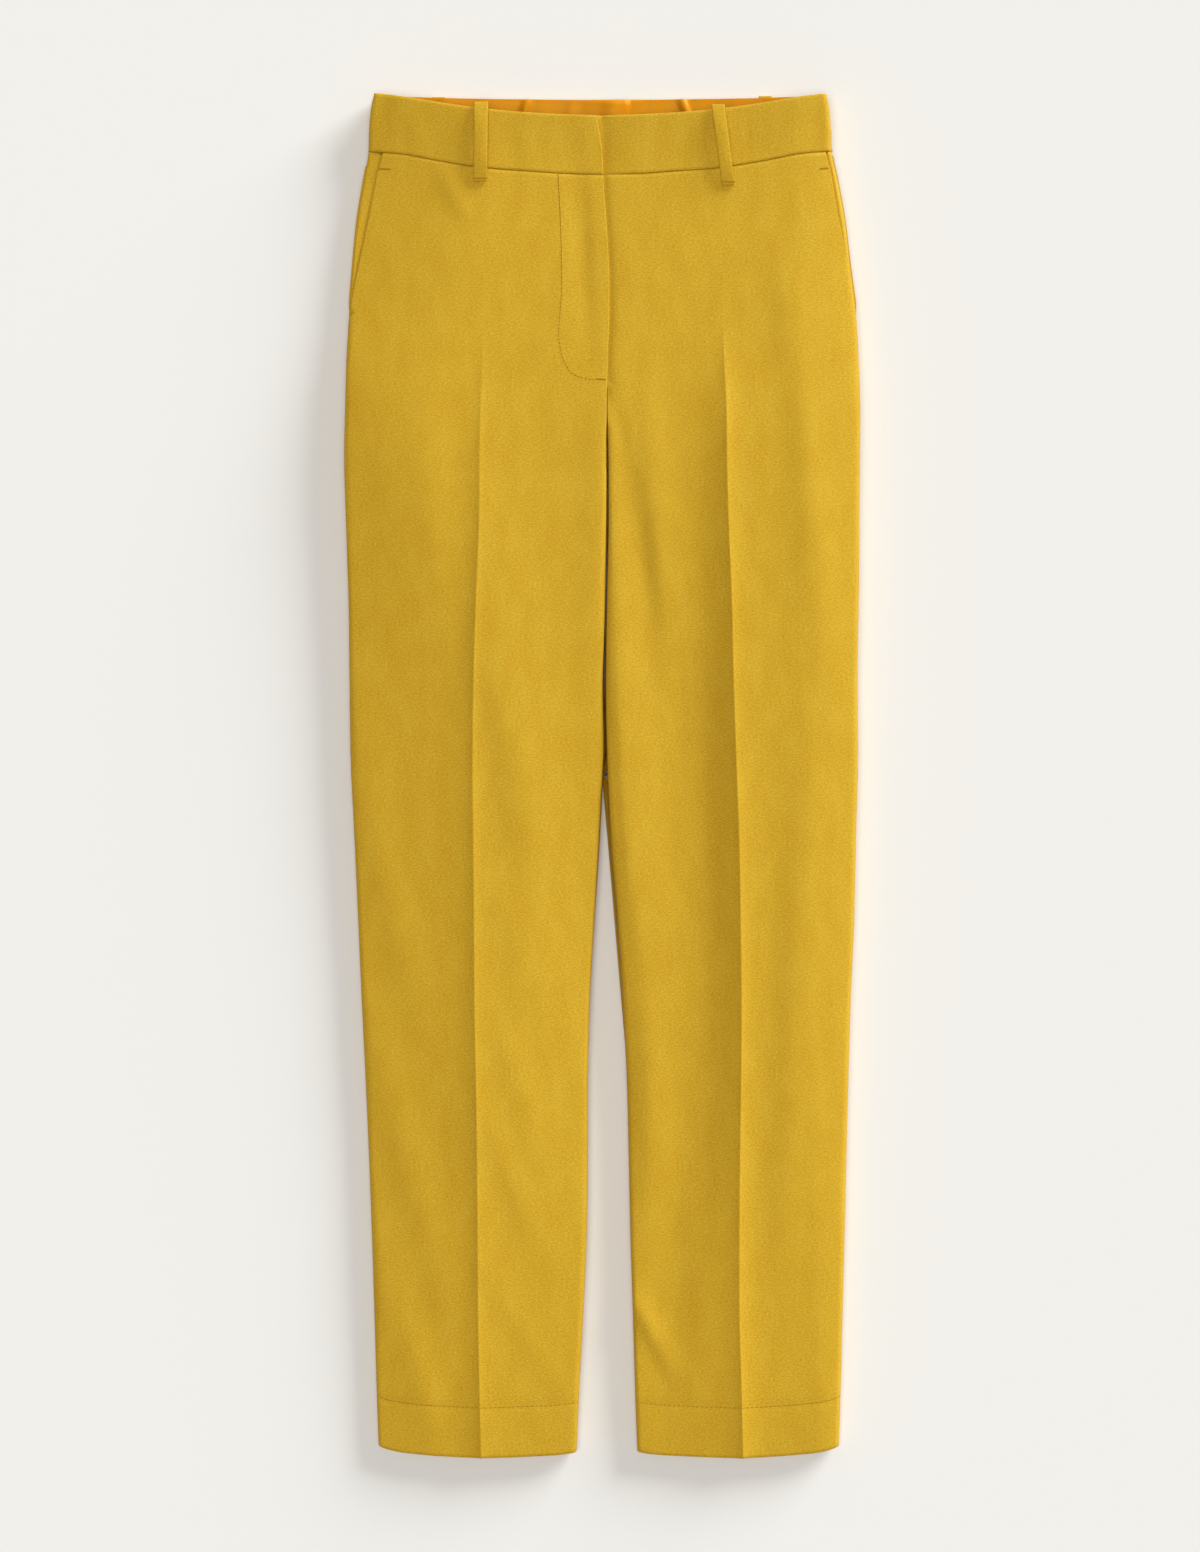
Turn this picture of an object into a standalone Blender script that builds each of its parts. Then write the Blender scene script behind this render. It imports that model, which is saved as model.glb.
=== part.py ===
"""Tapered high-rise trousers with pressed creases, laid flat on their back.

x runs across the garment, with the wearer's right leg on the -x side. y runs up the garment, from
the hems to the waistband. z is the height over the table that the garment lies on. The tables hold
millimetres, and "up" is the height above the lowest point of the hems.
"""

from collections import namedtuple

import bmesh
import bpy
import numpy as np

MM = 0.001

# ---- driving sizes, in mm ----
LENGTH = 1010.0  # from the hems to the top of the waistband
CLOTH = 1.4  # wall of the twill
HEM_CLOTH = 2.6  # the twill turned up on itself
HEM_DEPTH = 35.0  # height of the turned hem
BAND = 2.4  # waistband: two twills and a stiffener
BAND_PROUD = 0.8  # how far the band stands above the fronts
SATIN = 0.8  # band lining
LOOP_CLOTH = 2.0  # belt loop, folded in three
ZIP_TAPE = 1.0
SEAM_GAP = 0.3  # air between two pieces that are sewn together
SIDE_ROLL_BACK = 14.0  # width over which the back turns up to the side seam
HALF_WAIST = 172.0
STEP_START, STEP_WIDTH = 5.0, 17.0  # the left side steps down to pass under the lap
SEAM_LIP = 0.2  # the cloth stays level with a seam over this width
BACK_LIFT = 2.0  # the back band rests on its belt loops
LIFT_STARTS, LIFT_FULL = 905.0, 948.0
FLY_UNDER = 3.0  # how far the left front runs under the fly lap
RIGHT, LEFT = -1, 1  # the wearer's legs, as the sign of x

# Outline seen from above: x of each leg's side seam, pressed crease and inner edge. Above the crotch
# the inner edges are the centre front line, which the right front laps.
Outline = namedtuple("Outline", "up right_out right_crease right_in left_in left_crease left_out")
OUTLINE = (
    Outline(1010, -168.6, -86.0, -4.0, -4.0, 88.0, 166.4),
    Outline(1000, -171.0, -86.0, -2.2, -2.2, 88.0, 168.4),
    Outline(985, -172.6, -86.2, 0.2, 0.2, 88.0, 169.8),
    Outline(966, -173.2, -86.4, 1.0, 1.0, 88.0, 170.4),
    Outline(946, -176.9, -86.8, 1.0, 1.0, 88.3, 174.6),
    Outline(918, -181.6, -87.2, 3.0, 3.0, 88.6, 179.8),
    Outline(882, -185.0, -87.6, 5.1, 5.1, 89.0, 183.9),
    Outline(850, -187.2, -88.0, 5.5, 5.5, 89.3, 188.1),
    Outline(813, -189.5, -88.2, 4.4, 4.4, 90.0, 190.4),
    Outline(779, -190.4, -89.4, 3.6, 3.8, 91.6, 191.6),
    Outline(742, -191.2, -90.3, 3.2, 4.0, 92.0, 191.4),
    Outline(694, -189.9, -90.6, 3.0, 4.3, 93.2, 190.9),
    Outline(635, -188.0, -93.0, 3.0, 4.3, 95.6, 190.5),
    Outline(576, -187.3, -94.8, 2.5, 4.0, 97.0, 189.6),
    Outline(516, -186.4, -95.5, 1.4, 4.1, 99.0, 189.9),
    Outline(457, -183.6, -95.0, -2.2, 6.9, 101.2, 188.4),
    Outline(398, -180.9, -94.5, -5.3, 11.4, 102.2, 187.1),
    Outline(339, -178.3, -94.2, -8.8, 15.2, 102.9, 184.6),
    Outline(280, -175.4, -93.1, -10.2, 18.2, 102.6, 182.8),
    Outline(221, -172.8, -92.3, -10.4, 19.7, 101.8, 181.3),
    Outline(161, -170.6, -91.8, -11.2, 21.0, 101.4, 179.9),
    Outline(102, -168.7, -91.5, -13.9, 22.9, 101.6, 178.4),
    Outline(43, -167.0, -90.4, -17.0, 24.6, 103.3, 176.9),
    Outline(0, -165.4, -89.4, -18.8, 26.2, 104.3, 175.4),
)

# Height of the upper side of the cloth and of the side seams, and the width over which the upper side
# rolls down to each edge.
Form = namedtuple("Form", "up crown seam right_out right_in left_in left_out")
FORM = (
    Form(1010, 19.5, 9.5, 26, 12, 8, 24),
    Form(966, 22.0, 9.5, 30, 12, 8, 26),
    Form(882, 27.0, 8.5, 40, 12, 8, 28),
    Form(779, 30.0, 8.0, 48, 12, 8, 30),
    Form(635, 28.5, 8.0, 54, 12, 8, 30),
    Form(516, 26.5, 8.0, 52, 32, 11, 28),
    Form(398, 24.5, 8.0, 46, 44, 24, 28),
    Form(250, 22.0, 8.0, 38, 38, 26, 26),
    Form(100, 19.5, 8.0, 28, 26, 20, 24),
    Form(35, 18.0, 7.5, 24, 20, 16, 22),
    Form(0, 16.5, 7.5, 22, 18, 15, 20),
)

# How far the waist seam, the top of the front band and the top of the back band dip below their
# height at the sides, by share of the half width: 0 at the centre, 1 at the side.
Waist = namedtuple("Waist", "share seam front_top back_top")
WAIST = (
    Waist(0.00, 15.8, 15.2, 3.4),
    Waist(0.18, 14.9, 14.3, 3.2),
    Waist(0.32, 13.2, 13.0, 2.9),
    Waist(0.50, 10.8, 10.3, 2.5),
    Waist(0.69, 6.0, 6.1, 1.8),
    Waist(0.85, 1.5, 2.4, 0.8),
    Waist(1.00, 0.0, 0.0, 0.0),
)
WAIST_SEAM = 966.4  # at the side seams
WAIST_TOP = 1009.4
DIP_ENDS = 835.0  # below this the cloth's rows run straight across

# How far the hem rises above its lowest point, by share of the way from the crease to the edge.
Hem = namedtuple("Hem", "share rise")
HEM = (Hem(0.0, 0.0), Hem(0.3, 0.8), Hem(0.6, 2.4), Hem(0.8, 4.0), Hem(0.93, 6.2), Hem(1.0, 8.2))
HEM_RISE_ENDS = 90.0
INNER_HEM_SHARE = 0.5  # the inner corners rise only half as far

# Width of the side piece that shows outside each slanted pocket opening.
Pocket = namedtuple("Pocket", "up right left")
POCKET = (
    Pocket(966, 11.0, 5.0),
    Pocket(955, 9.8, 4.4),
    Pocket(938, 9.6, 4.9),
    Pocket(919, 9.0, 5.2),
    Pocket(896, 6.5, 3.2),
    Pocket(876, 3.8, 1.6),
    Pocket(856, 1.3, 0.9),
)
POCKET_FOOT = 856.0
HIP_SHARES = (0.0, 0.3, 0.65)  # columns of the hip piece, from the side seam to the opening
HIP_SINK = 0.6  # how much of its drop under the front the hip piece has before the opening
FLY_FOOT = 797.0
STEP_FOOT = 792.0

# Pressed creases: a sharp ridge with a flank to each side.
Crease = namedtuple("Crease", "leg height minus_flank plus_flank full_at starts_at")
CREASES = (
    Crease(RIGHT, 3.4, 8.0, 15.0, 780.0, 830.0),
    Crease(LEFT, 4.6, 20.0, 11.0, 790.0, 840.0),
)

# Soft folds: a ridge (or a trough, below zero) along a bowed line, with its own width to each side.
Fold = namedtuple("Fold", "leg up_a x_a up_b x_b bow height minus plus")
FOLDS = (
    # outer half of the right leg: long ridges that fall inwards
    Fold(RIGHT, 766, -184, 517, -116, 10, 2.6, 15, 15),
    Fold(RIGHT, 790, -136, 690, -116, 0, 1.4, 10, 12),
    Fold(RIGHT, 580, -187, 318, -128, -8, 2.6, 16, 14),
    Fold(RIGHT, 358, -182, 118, -108, 3, 2.4, 15, 15),
    Fold(RIGHT, 170, -172, 42, -129, 0, 2.0, 12, 13),
    Fold(RIGHT, 50, -166, 4, -146, 0, 1.0, 9, 9),
    # inner half of the right leg
    Fold(RIGHT, 725, -84, 543, -51, -5, 1.8, 12, 13),
    Fold(RIGHT, 566, -84, 428, -51, 0, 1.8, 12, 13),
    Fold(RIGHT, 414, -78, 338, -46, 0, 1.5, 10, 12),
    Fold(RIGHT, 326, -78, 210, -40, 4, 1.7, 10, 12),
    Fold(RIGHT, 250, -93, 166, -38, 0, 1.3, 9, 11),
    Fold(RIGHT, 140, -93, 64, -34, 0, 1.8, 9, 11),
    Fold(RIGHT, 775, -7, 678, -7, 0, 2.0, 9, 7),
    Fold(RIGHT, 632, -30, 512, -15, 0, 1.6, 10, 12),
    # inner half of the left leg: two ridges from the crotch and the long hollow beside the crease
    Fold(LEFT, 790, 4, 490, 30, -2, 3.0, 8, 12),
    Fold(LEFT, 792, 25, 555, 47, 5, 2.8, 9, 13),
    Fold(LEFT, 640, 68, 60, 72, 0, -1.8, 20, 16),
    Fold(LEFT, 312, 34, 196, 46, 0, 1.4, 10, 12),
    Fold(LEFT, 126, 22, 56, 63, 0, 1.6, 6, 10),
    # outer half of the left leg
    Fold(LEFT, 885, 133, 822, 142, 0, 1.5, 9, 12),
    Fold(LEFT, 792, 150, 700, 136, 0, 1.8, 9, 12),
    Fold(LEFT, 720, 154, 535, 159, 0, 2.4, 10, 12),
    Fold(LEFT, 545, 143, 485, 152, 0, 1.5, 9, 10),
    Fold(LEFT, 480, 134, 425, 148, 0, 1.7, 10, 11),
    Fold(LEFT, 445, 135, 202, 150, 3, 1.8, 10, 14),
    # hips
    Fold(RIGHT, 956, -121, 920, -103, 0, 1.1, 7, 8),
    Fold(RIGHT, 958, -8, 822, -3, 0, -0.8, 6, 5),
    Fold(LEFT, 905, 13, 815, 16, 0, 1.0, 8, 12),
)

# Belt loops: the ends of each loop's centre line.
Loop = namedtuple("Loop", "name on top_up top_x foot_up foot_x width")
LOOPS = (
    Loop("belt_loop_front_right", "front", 1003.6, -89.2, 946.9, -89.9, 10.4),
    Loop("belt_loop_front_left", "front", 1001.2, 85.8, 944.2, 93.2, 9.8),
    Loop("belt_loop_back_right", "back", 1008.8, -121.6, 952.0, -121.0, 9.4),
    Loop("belt_loop_back_left", "back", 1009.6, 121.3, 952.5, 120.5, 9.4),
)
# How far a front loop's under side stands off the front, from its top end to its foot.
Stand = namedtuple("Stand", "share off")
STAND = (Stand(0, 1.3), Stand(0.08, 2.2), Stand(0.2, 3.2), Stand(0.5, 3.8), Stand(0.8, 3.1), Stand(1, 0.5))
LOOP_ON_BAND = 999.0  # above this a loop stays level with the band's top edge
LOOP_ROWS = 9

# Heights of the cloth's rows of points, and distances of its columns from an edge or the crease.
FRONT_ROWS = (966, 955, 940, 921, 900, 878, 856, 838, 818, 797, 792, 776, 766, 758, 750, 742, 734, 725,
              700, 668, 632, 596, 560, 524, 488, 452, 416, 380, 344, 308, 272, 236, 200, 164, 128, 92, 60,
              35, 14, 0)
BACK_ROWS = (966, 948, 926, 905, 870, 835, 800, 768, 755, 742, 728, 690, 630, 570, 510, 450, 390, 330,
             270, 210, 150, 90, 35, 0)
EDGE_COLUMNS = (0.0, 1.2, 4.0, 10.0, 18.0, 30.0)
CENTRE_COLUMNS = (0.0, 3.0, 6.5, 12.0, 23.0, 33.0)  # beside the centre front, above the crotch
LAPPED_COLUMNS = (-FLY_UNDER, 0.0, 4.0, 12.0, 23.0, 33.0)  # left front, which starts under the fly lap
CLEAR_SHARE = 0.12  # of a column, left free between the left front's edge and the zip
ZIP_COLUMNS = 4
CREASE_COLUMNS = (-14.0, -5.0, 0.0, 5.0, 14.0)
BACK_EDGE_COLUMNS = (0.0, 1.2, 4.0, 8.0, 14.0)
BETWEEN = 2  # columns between an edge's set and the crease's
CROTCH_TOP, CROTCH = 768.0, 728.0  # the legs part over this height

BAND_SHARES = (0.0, 0.33, 0.67, 1.0)  # rows of the waistband, from the seam to the top
BAND_LAP = 35.0  # how far the left band runs under the right one
BAND_LAP_COLUMNS = (0.0, 8.0, 20.0, BAND_LAP)
BAND_CENTRE_COLUMNS = (6.0, 16.0, 28.0)  # left band, beside the lap
LINING_STARTS = 3  # columns of the back band that the lining leaves free at each side seam
BACK_BAND_COLUMNS = (SEAM_GAP / 2, 12.0, 30.0)

COLOURS = {
    "twill": (0.56, 0.34, 0.035, 1.0),
    "satin": (0.67, 0.27, 0.02, 1.0),
    "zip_tape": (0.50, 0.31, 0.05, 1.0),
}
ROUGHNESS = {"twill": 0.85, "satin": 0.4, "zip_tape": 0.8}


def ease(t):
    """0 below 0, 1 above 1, and a smooth step between."""
    t = np.clip(t, 0.0, 1.0)
    return t * t * (3.0 - 2.0 * t)


def read(table, column, at):
    """A column of a table between its rows, as a smooth curve through them."""
    rows = sorted(table)
    keys = np.array([row[0] for row in rows], float)
    values = np.array([getattr(row, column) for row in rows], float)
    slopes = np.gradient(values, keys)
    at = np.clip(np.asarray(at, float), keys[0], keys[-1])
    low = np.clip(np.searchsorted(keys, at, side="right") - 1, 0, len(keys) - 2)
    span = keys[low + 1] - keys[low]
    t = (at - keys[low]) / span
    near = (1 + 2 * t) * (1 - t) ** 2 * values[low] + t * (1 - t) ** 2 * span * slopes[low]
    far = t * t * (3 - 2 * t) * values[low + 1] - t * t * (1 - t) * span * slopes[low + 1]
    return near + far


def quarter_round(edge, x, width):
    """0 at an edge's seam, rising like a quarter of an ellipse to 1 at the given width."""
    away = 1.0 - np.clip((np.abs(edge - x) - SEAM_LIP) / width, 0.0, 1.0)
    return np.sqrt(1.0 - away * away)


def side_of(leg):
    return "right" if leg == RIGHT else "left"


def line(leg, which, up):
    """x of a leg's "out", "crease" or "in" line."""
    return read(OUTLINE, f"{side_of(leg)}_{which}", up)


def parted(up):
    """0 above the crotch, 1 where the legs are separate tubes."""
    return ease((CROTCH_TOP - up) / (CROTCH_TOP - CROTCH))


def fold_height(leg, x, up):
    """Height that the soft folds and the pressed crease add to the upper side."""
    total = np.zeros(np.broadcast(x, up).shape)
    for fold in FOLDS:
        if fold.leg != leg:
            continue
        t = np.clip((fold.up_a - up) / (fold.up_a - fold.up_b), 0.0, 1.0)
        centre = fold.x_a + (fold.x_b - fold.x_a) * t + fold.bow * 4 * t * (1 - t)
        away = x - centre
        width = np.where(away < 0, fold.minus, fold.plus)
        total = total + fold.height * np.sin(np.pi * t) ** 0.8 * np.exp(-((away / width) ** 2))
    for crease in CREASES:
        if crease.leg != leg:
            continue
        away = x - line(leg, "crease", up)
        flank = np.where(away < 0, crease.minus_flank, crease.plus_flank)
        shown = ease((crease.starts_at - up) / (crease.starts_at - crease.full_at))
        total = total + crease.height * shown * np.exp(-np.abs(away) / flank)
    return total


def front_height(leg, x, up):
    """z of the upper side of the fronts."""
    crown, seam = read(FORM, "crown", up), read(FORM, "seam", up)
    side = side_of(leg)
    outer = quarter_round(line(leg, "out", up), x, read(FORM, f"{side}_out", up))
    inner = quarter_round(line(leg, "in", up), x, read(FORM, f"{side}_in", up))
    inner = 1.0 - parted(up) * (1.0 - inner)
    rise = (crown - seam) * outer * inner + fold_height(leg, x, up) * outer ** 2 * inner ** 2
    return seam + SEAM_GAP / 2 + rise


def back_height(leg, x, up):
    """z of the under side of the backs: on the table, and turned up to the seams."""
    seam = read(FORM, "seam", up) - SEAM_GAP / 2
    lift = BACK_LIFT * ease((up - LIFT_STARTS) / (LIFT_FULL - LIFT_STARTS))
    outer = quarter_round(line(leg, "out", up), x, SIDE_ROLL_BACK)
    inner = quarter_round(line(leg, "in", up), x, SIDE_ROLL_BACK)
    inner = 1.0 - parted(up) * (1.0 - inner)
    return seam - (seam - lift) * outer * inner


def waist_dip(column, x):
    return read(WAIST, column, np.abs(x) / HALF_WAIST)


def row_up(base, leg, x):
    """Height of a row's points: the top rows follow the waist seam, the lowest follow the hem."""
    follow = ease((base - DIP_ENDS) / (WAIST_SEAM - DIP_ENDS))
    crease = line(leg, "crease", base)
    outer = np.abs(line(leg, "out", base) - crease)
    inner = np.abs(line(leg, "in", base) - crease)
    outward = (x - crease) * leg > 0
    share = np.abs(x - crease) / np.where(outward, outer, inner)
    rise = read(HEM, "rise", share) * np.where(outward, 1.0, INNER_HEM_SHARE)
    rise = rise * ease((HEM_RISE_ENDS - base) / (HEM_RISE_ENDS - HEM_DEPTH))
    return base - follow * waist_dip("seam", x) + rise


def edge_of(leg, which, base):
    """x of an edge where a row meets it."""
    return line(leg, which, row_up(base, leg, line(leg, which, base)))


def normals_of(points, outward_z):
    """Unit normals of a grid of points, on the side where they point up (or down)."""
    normals = np.cross(np.gradient(points, axis=0), np.gradient(points, axis=1))
    normals /= np.linalg.norm(normals, axis=2, keepdims=True)
    if normals[..., 2].mean() * outward_z < 0:
        normals = -normals
    return normals


def level(normals, column, amount):
    """Turn the normals of an edge column level by an amount from 0 to 1, as at a side seam."""
    normals[:, column, 2] *= 1.0 - amount
    normals[:, column] /= np.linalg.norm(normals[:, column], axis=1, keepdims=True)


def material(name):
    made = bpy.data.materials.get(name) or bpy.data.materials.new(name)
    made.use_nodes = True
    shader = made.node_tree.nodes["Principled BSDF"]
    shader.inputs["Base Color"].default_value = COLOURS[name]
    shader.inputs["Roughness"].default_value = ROUGHNESS[name]
    shader.inputs["Metallic"].default_value = 0.0
    return made


def wall(name, outer, normals, thickness, cloth="twill"):
    """One piece of cloth: outer points, inner points a thickness behind them, and a rim."""
    rows, columns = outer.shape[:2]
    inner = outer - normals * np.broadcast_to(thickness, (rows, columns))[..., None]
    shape = bmesh.new()
    corner = {}
    for side, points in (("outer", outer), ("inner", inner)):
        for i in range(rows):
            for j in range(columns):
                x, up, z = points[i, j]
                corner[side, i, j] = shape.verts.new((x * MM, (up - LENGTH / 2) * MM, z * MM))
    for side in ("outer", "inner"):
        for i in range(rows - 1):
            for j in range(columns - 1):
                here, across = corner[side, i, j], corner[side, i + 1, j + 1]
                shape.faces.new((here, corner[side, i + 1, j], across))
                shape.faces.new((here, across, corner[side, i, j + 1]))
    around = [(i, 0) for i in range(rows)] + [(rows - 1, j) for j in range(1, columns)]
    around += [(i, columns - 1) for i in range(rows - 2, -1, -1)]
    around += [(0, j) for j in range(columns - 2, 0, -1)]
    for here, there in zip(around, around[1:] + around[:1]):
        shape.faces.new((corner["outer", *here], corner["outer", *there], corner["inner", *there]))
        shape.faces.new((corner["outer", *here], corner["inner", *there], corner["inner", *here]))
    bmesh.ops.recalc_face_normals(shape, faces=shape.faces)
    mesh = bpy.data.meshes.new(name)
    shape.to_mesh(mesh)
    shape.free()
    mesh.materials.append(material(cloth))
    mesh.shade_smooth()
    mesh.set_sharp_from_angle(angle=np.radians(50))
    made = bpy.data.objects.new(name, mesh)
    bpy.context.collection.objects.link(made)
    return made


def spread(low, high, count):
    """Evenly spaced values strictly between two others."""
    return low + (high - low) * (np.arange(count) + 1.0) / (count + 1.0)


def front_grid(leg):
    """Points of a front's upper side, row by row from the waist, column by column from the side."""
    rows = []
    for base in FRONT_ROWS:
        split = parted(base)
        in_fly = base >= FLY_FOOT
        strip = read(POCKET, side_of(leg), base) if base >= POCKET_FOOT else 0.0
        out, crease, inn = edge_of(leg, "out", base), line(leg, "crease", base), edge_of(leg, "in", base)
        centre_set = np.array(CENTRE_COLUMNS)
        if leg == LEFT and in_fly:
            centre_set = np.array(LAPPED_COLUMNS)
        elif leg == LEFT or not in_fly:
            inn = inn + leg * SEAM_GAP / 2
        inner_set = centre_set + (np.array(EDGE_COLUMNS) - centre_set) * split
        from_side = out - leg * (strip + np.array(EDGE_COLUMNS))
        by_crease = crease - leg * np.array(CREASE_COLUMNS)
        from_inner = (inn + leg * inner_set)[::-1]
        x = np.concatenate([
            from_side, spread(from_side[-1], by_crease[0], BETWEEN),
            by_crease, spread(by_crease[-1], from_inner[0], BETWEEN), from_inner,
        ])
        up = row_up(base, leg, x)
        if base == FRONT_ROWS[0]:
            up = up - SEAM_GAP / 2
        rows.append(np.stack([x, up, front_height(leg, x, up)], axis=1))
    return np.array(rows)


def make_fronts():
    """Both fronts, the pocket side pieces under them, and the closure under the fly lap."""
    bases = np.array(FRONT_ROWS, float)
    thickness = np.where(bases <= HEM_DEPTH, HEM_CLOTH, CLOTH)[:, None]
    fly = bases >= FLY_FOOT
    pocket = bases >= POCKET_FOOT
    under = CLOTH + SEAM_GAP
    grids = {}
    for leg in (RIGHT, LEFT):
        points = front_grid(leg)
        if leg == LEFT:  # step the left front down beside the lap
            away = np.abs(points[..., 0] - line(leg, "in", points[..., 1]))
            stepped = (bases >= STEP_FOOT)[:, None]
            points[..., 2] -= under * (1.0 - ease((away - STEP_START) / STEP_WIDTH)) * stepped
        normals = normals_of(points, 1)
        level(normals, 0, np.where(pocket, 0.0, 1.0))
        level(normals, -1, parted(bases))
        grids[leg] = points, normals

    points, normals = grids[RIGHT]
    lapped, lapped_normals = grids[LEFT]
    # the left front's last columns copy the lap's, a cloth and a gap below it
    lapped[fly, -2] = (points - normals * under)[fly, -1]
    lapped[fly, -1] = (points - normals * under)[fly, -2]
    lapped_normals[fly, -2] = normals[fly, -1]
    lapped_normals[fly, -1] = normals[fly, -2]

    for leg in (RIGHT, LEFT):
        points, normals = grids[leg]
        wall(f"front_{side_of(leg)}", points, normals, thickness)
        make_pocket_side(leg, points[pocket], normals[pocket], bases[pocket], under)

    # under the lap: the zip, then the underlap, both from the lap's own points
    points, normals = grids[RIGHT]
    lap = slice(-2, -len(CENTRE_COLUMNS) - 1, -1)
    lap_points, lap_normals = points[fly][:, lap], normals[fly][:, lap]
    lap_points = lap_points.copy()
    lap_points[:, 0] += (lap_points[:, 1] - lap_points[:, 0]) * CLEAR_SHARE
    wall("fly_zip", (lap_points - lap_normals * under)[:, :ZIP_COLUMNS], lap_normals[:, :ZIP_COLUMNS],
         ZIP_TAPE, "zip_tape")
    below_zip = under + ZIP_TAPE + SEAM_GAP
    wall("fly_underlap", lap_points - lap_normals * below_zip, lap_normals, CLOTH)


def make_pocket_side(leg, front, front_normals, bases, under):
    """The hip piece outside a slanted pocket opening, which runs on under the front."""
    side = edge_of(leg, "out", bases)
    visible = []
    for share in HIP_SHARES:
        x = side + (front[:, 0, 0] - side) * share
        up = row_up(bases, leg, x)
        up[0] -= SEAM_GAP / 2
        z = front_height(leg, x, up) - under * ease(share) * HIP_SINK
        visible.append(np.stack([x, up, z], axis=1))
    tucked = front - front_normals * under
    points = np.concatenate([np.stack(visible, axis=1), tucked[:, :len(EDGE_COLUMNS)]], axis=1)
    normals = normals_of(points, 1)
    normals[:, len(visible):] = front_normals[:, :len(EDGE_COLUMNS)]
    level(normals, 0, 1.0)
    wall(f"pocket_side_{side_of(leg)}", points, normals, CLOTH)


def make_backs():
    """Both backs, from the waist seam to the hems, meeting at the centre back seam."""
    bases = np.array(BACK_ROWS, float)
    thickness = np.where(bases <= HEM_DEPTH, HEM_CLOTH, CLOTH)[:, None]
    for leg in (RIGHT, LEFT):
        rows = []
        for base in BACK_ROWS:
            out, inn = edge_of(leg, "out", base), edge_of(leg, "in", base) + leg * SEAM_GAP / 2
            from_side = out - leg * np.array(BACK_EDGE_COLUMNS)
            from_inner = (inn + leg * np.array(BACK_EDGE_COLUMNS))[::-1]
            x = np.concatenate([from_side, spread(from_side[-1], from_inner[0], 2 * BETWEEN), from_inner])
            up = row_up(base, leg, x)
            follow = ease((base - DIP_ENDS) / (WAIST_SEAM - DIP_ENDS))
            up = up + follow * (waist_dip("seam", x) - waist_dip("back_top", x))
            if base == BACK_ROWS[0]:
                up = up - SEAM_GAP / 2
            rows.append(np.stack([x, up, back_height(leg, x, up)], axis=1))
        points = np.array(rows)
        normals = normals_of(points, -1)
        level(normals, 0, 1.0)
        level(normals, -1, parted(bases))
        wall(f"back_{side_of(leg)}", points, normals, thickness)


def band_grid(leg, inner_columns, top_column, height):
    """Points of half a waistband, from the seam up, and from the side seam to the centre."""
    rows = []
    for share in BAND_SHARES:
        level_up = WAIST_SEAM + (WAIST_TOP - WAIST_SEAM) * share
        out, inn = line(leg, "out", level_up), line(leg, "in", level_up)
        from_side = out - leg * np.array(EDGE_COLUMNS)
        from_inner = (inn + leg * np.array(inner_columns))[::-1]
        x = np.concatenate([from_side, spread(from_side[-1], from_inner[0], 2 * BETWEEN + 1), from_inner])
        seam_column = "seam" if top_column == "front_top" else top_column
        low = WAIST_SEAM + SEAM_GAP / 2 - waist_dip(seam_column, x)
        high = WAIST_TOP - waist_dip(top_column, x)
        up = low + (high - low) * share
        rows.append(np.stack([x, up, height(leg, x, up)], axis=1))
    return np.array(rows)


def band_front_height(leg, x, up):
    outer = quarter_round(line(leg, "out", up), x, read(FORM, f"{side_of(leg)}_out", up))
    return front_height(leg, x, up) + BAND_PROUD * outer


def make_waistband():
    """The band in four pieces, right over left at the fly, and its lining across the back."""
    under = BAND + SEAM_GAP
    right = band_grid(RIGHT, BAND_LAP_COLUMNS, "front_top", band_front_height)
    right_normals = normals_of(right, 1)
    level(right_normals, 0, 1.0)
    wall("waistband_front_right", right, right_normals, BAND)

    lap = len(BAND_LAP_COLUMNS)
    left = band_grid(LEFT, BAND_CENTRE_COLUMNS, "front_top", band_front_height)
    away = np.abs(left[..., 0] - line(LEFT, "in", left[..., 1]))
    left[..., 2] -= under * (1.0 - ease((away - STEP_START) / STEP_WIDTH))
    left_normals = normals_of(left, 1)
    level(left_normals, 0, 1.0)
    tucked = (right - right_normals * under)[:, :-lap - 1:-1]
    left = np.concatenate([left, tucked], axis=1)
    left_normals = np.concatenate([left_normals, right_normals[:, :-lap - 1:-1]], axis=1)
    wall("waistband_front_left", left, left_normals, BAND)

    linings = []
    for leg in (RIGHT, LEFT):
        points = band_grid(leg, BACK_BAND_COLUMNS, "back_top", back_height)
        normals = normals_of(points, -1)
        level(normals, 0, 1.0)
        wall(f"waistband_back_{side_of(leg)}", points, normals, BAND)
        lining = (points - normals * (BAND + SEAM_GAP))[:, LINING_STARTS:]
        linings.append((lining, normals[:, LINING_STARTS:]))
    (right_lining, right_normals), (left_lining, left_normals) = linings
    lining = np.concatenate([right_lining, left_lining[:, ::-1]], axis=1)
    normals = np.concatenate([right_normals, left_normals[:, ::-1]], axis=1)
    wall("waistband_lining_back", lining, normals, SATIN, "satin")


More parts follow.
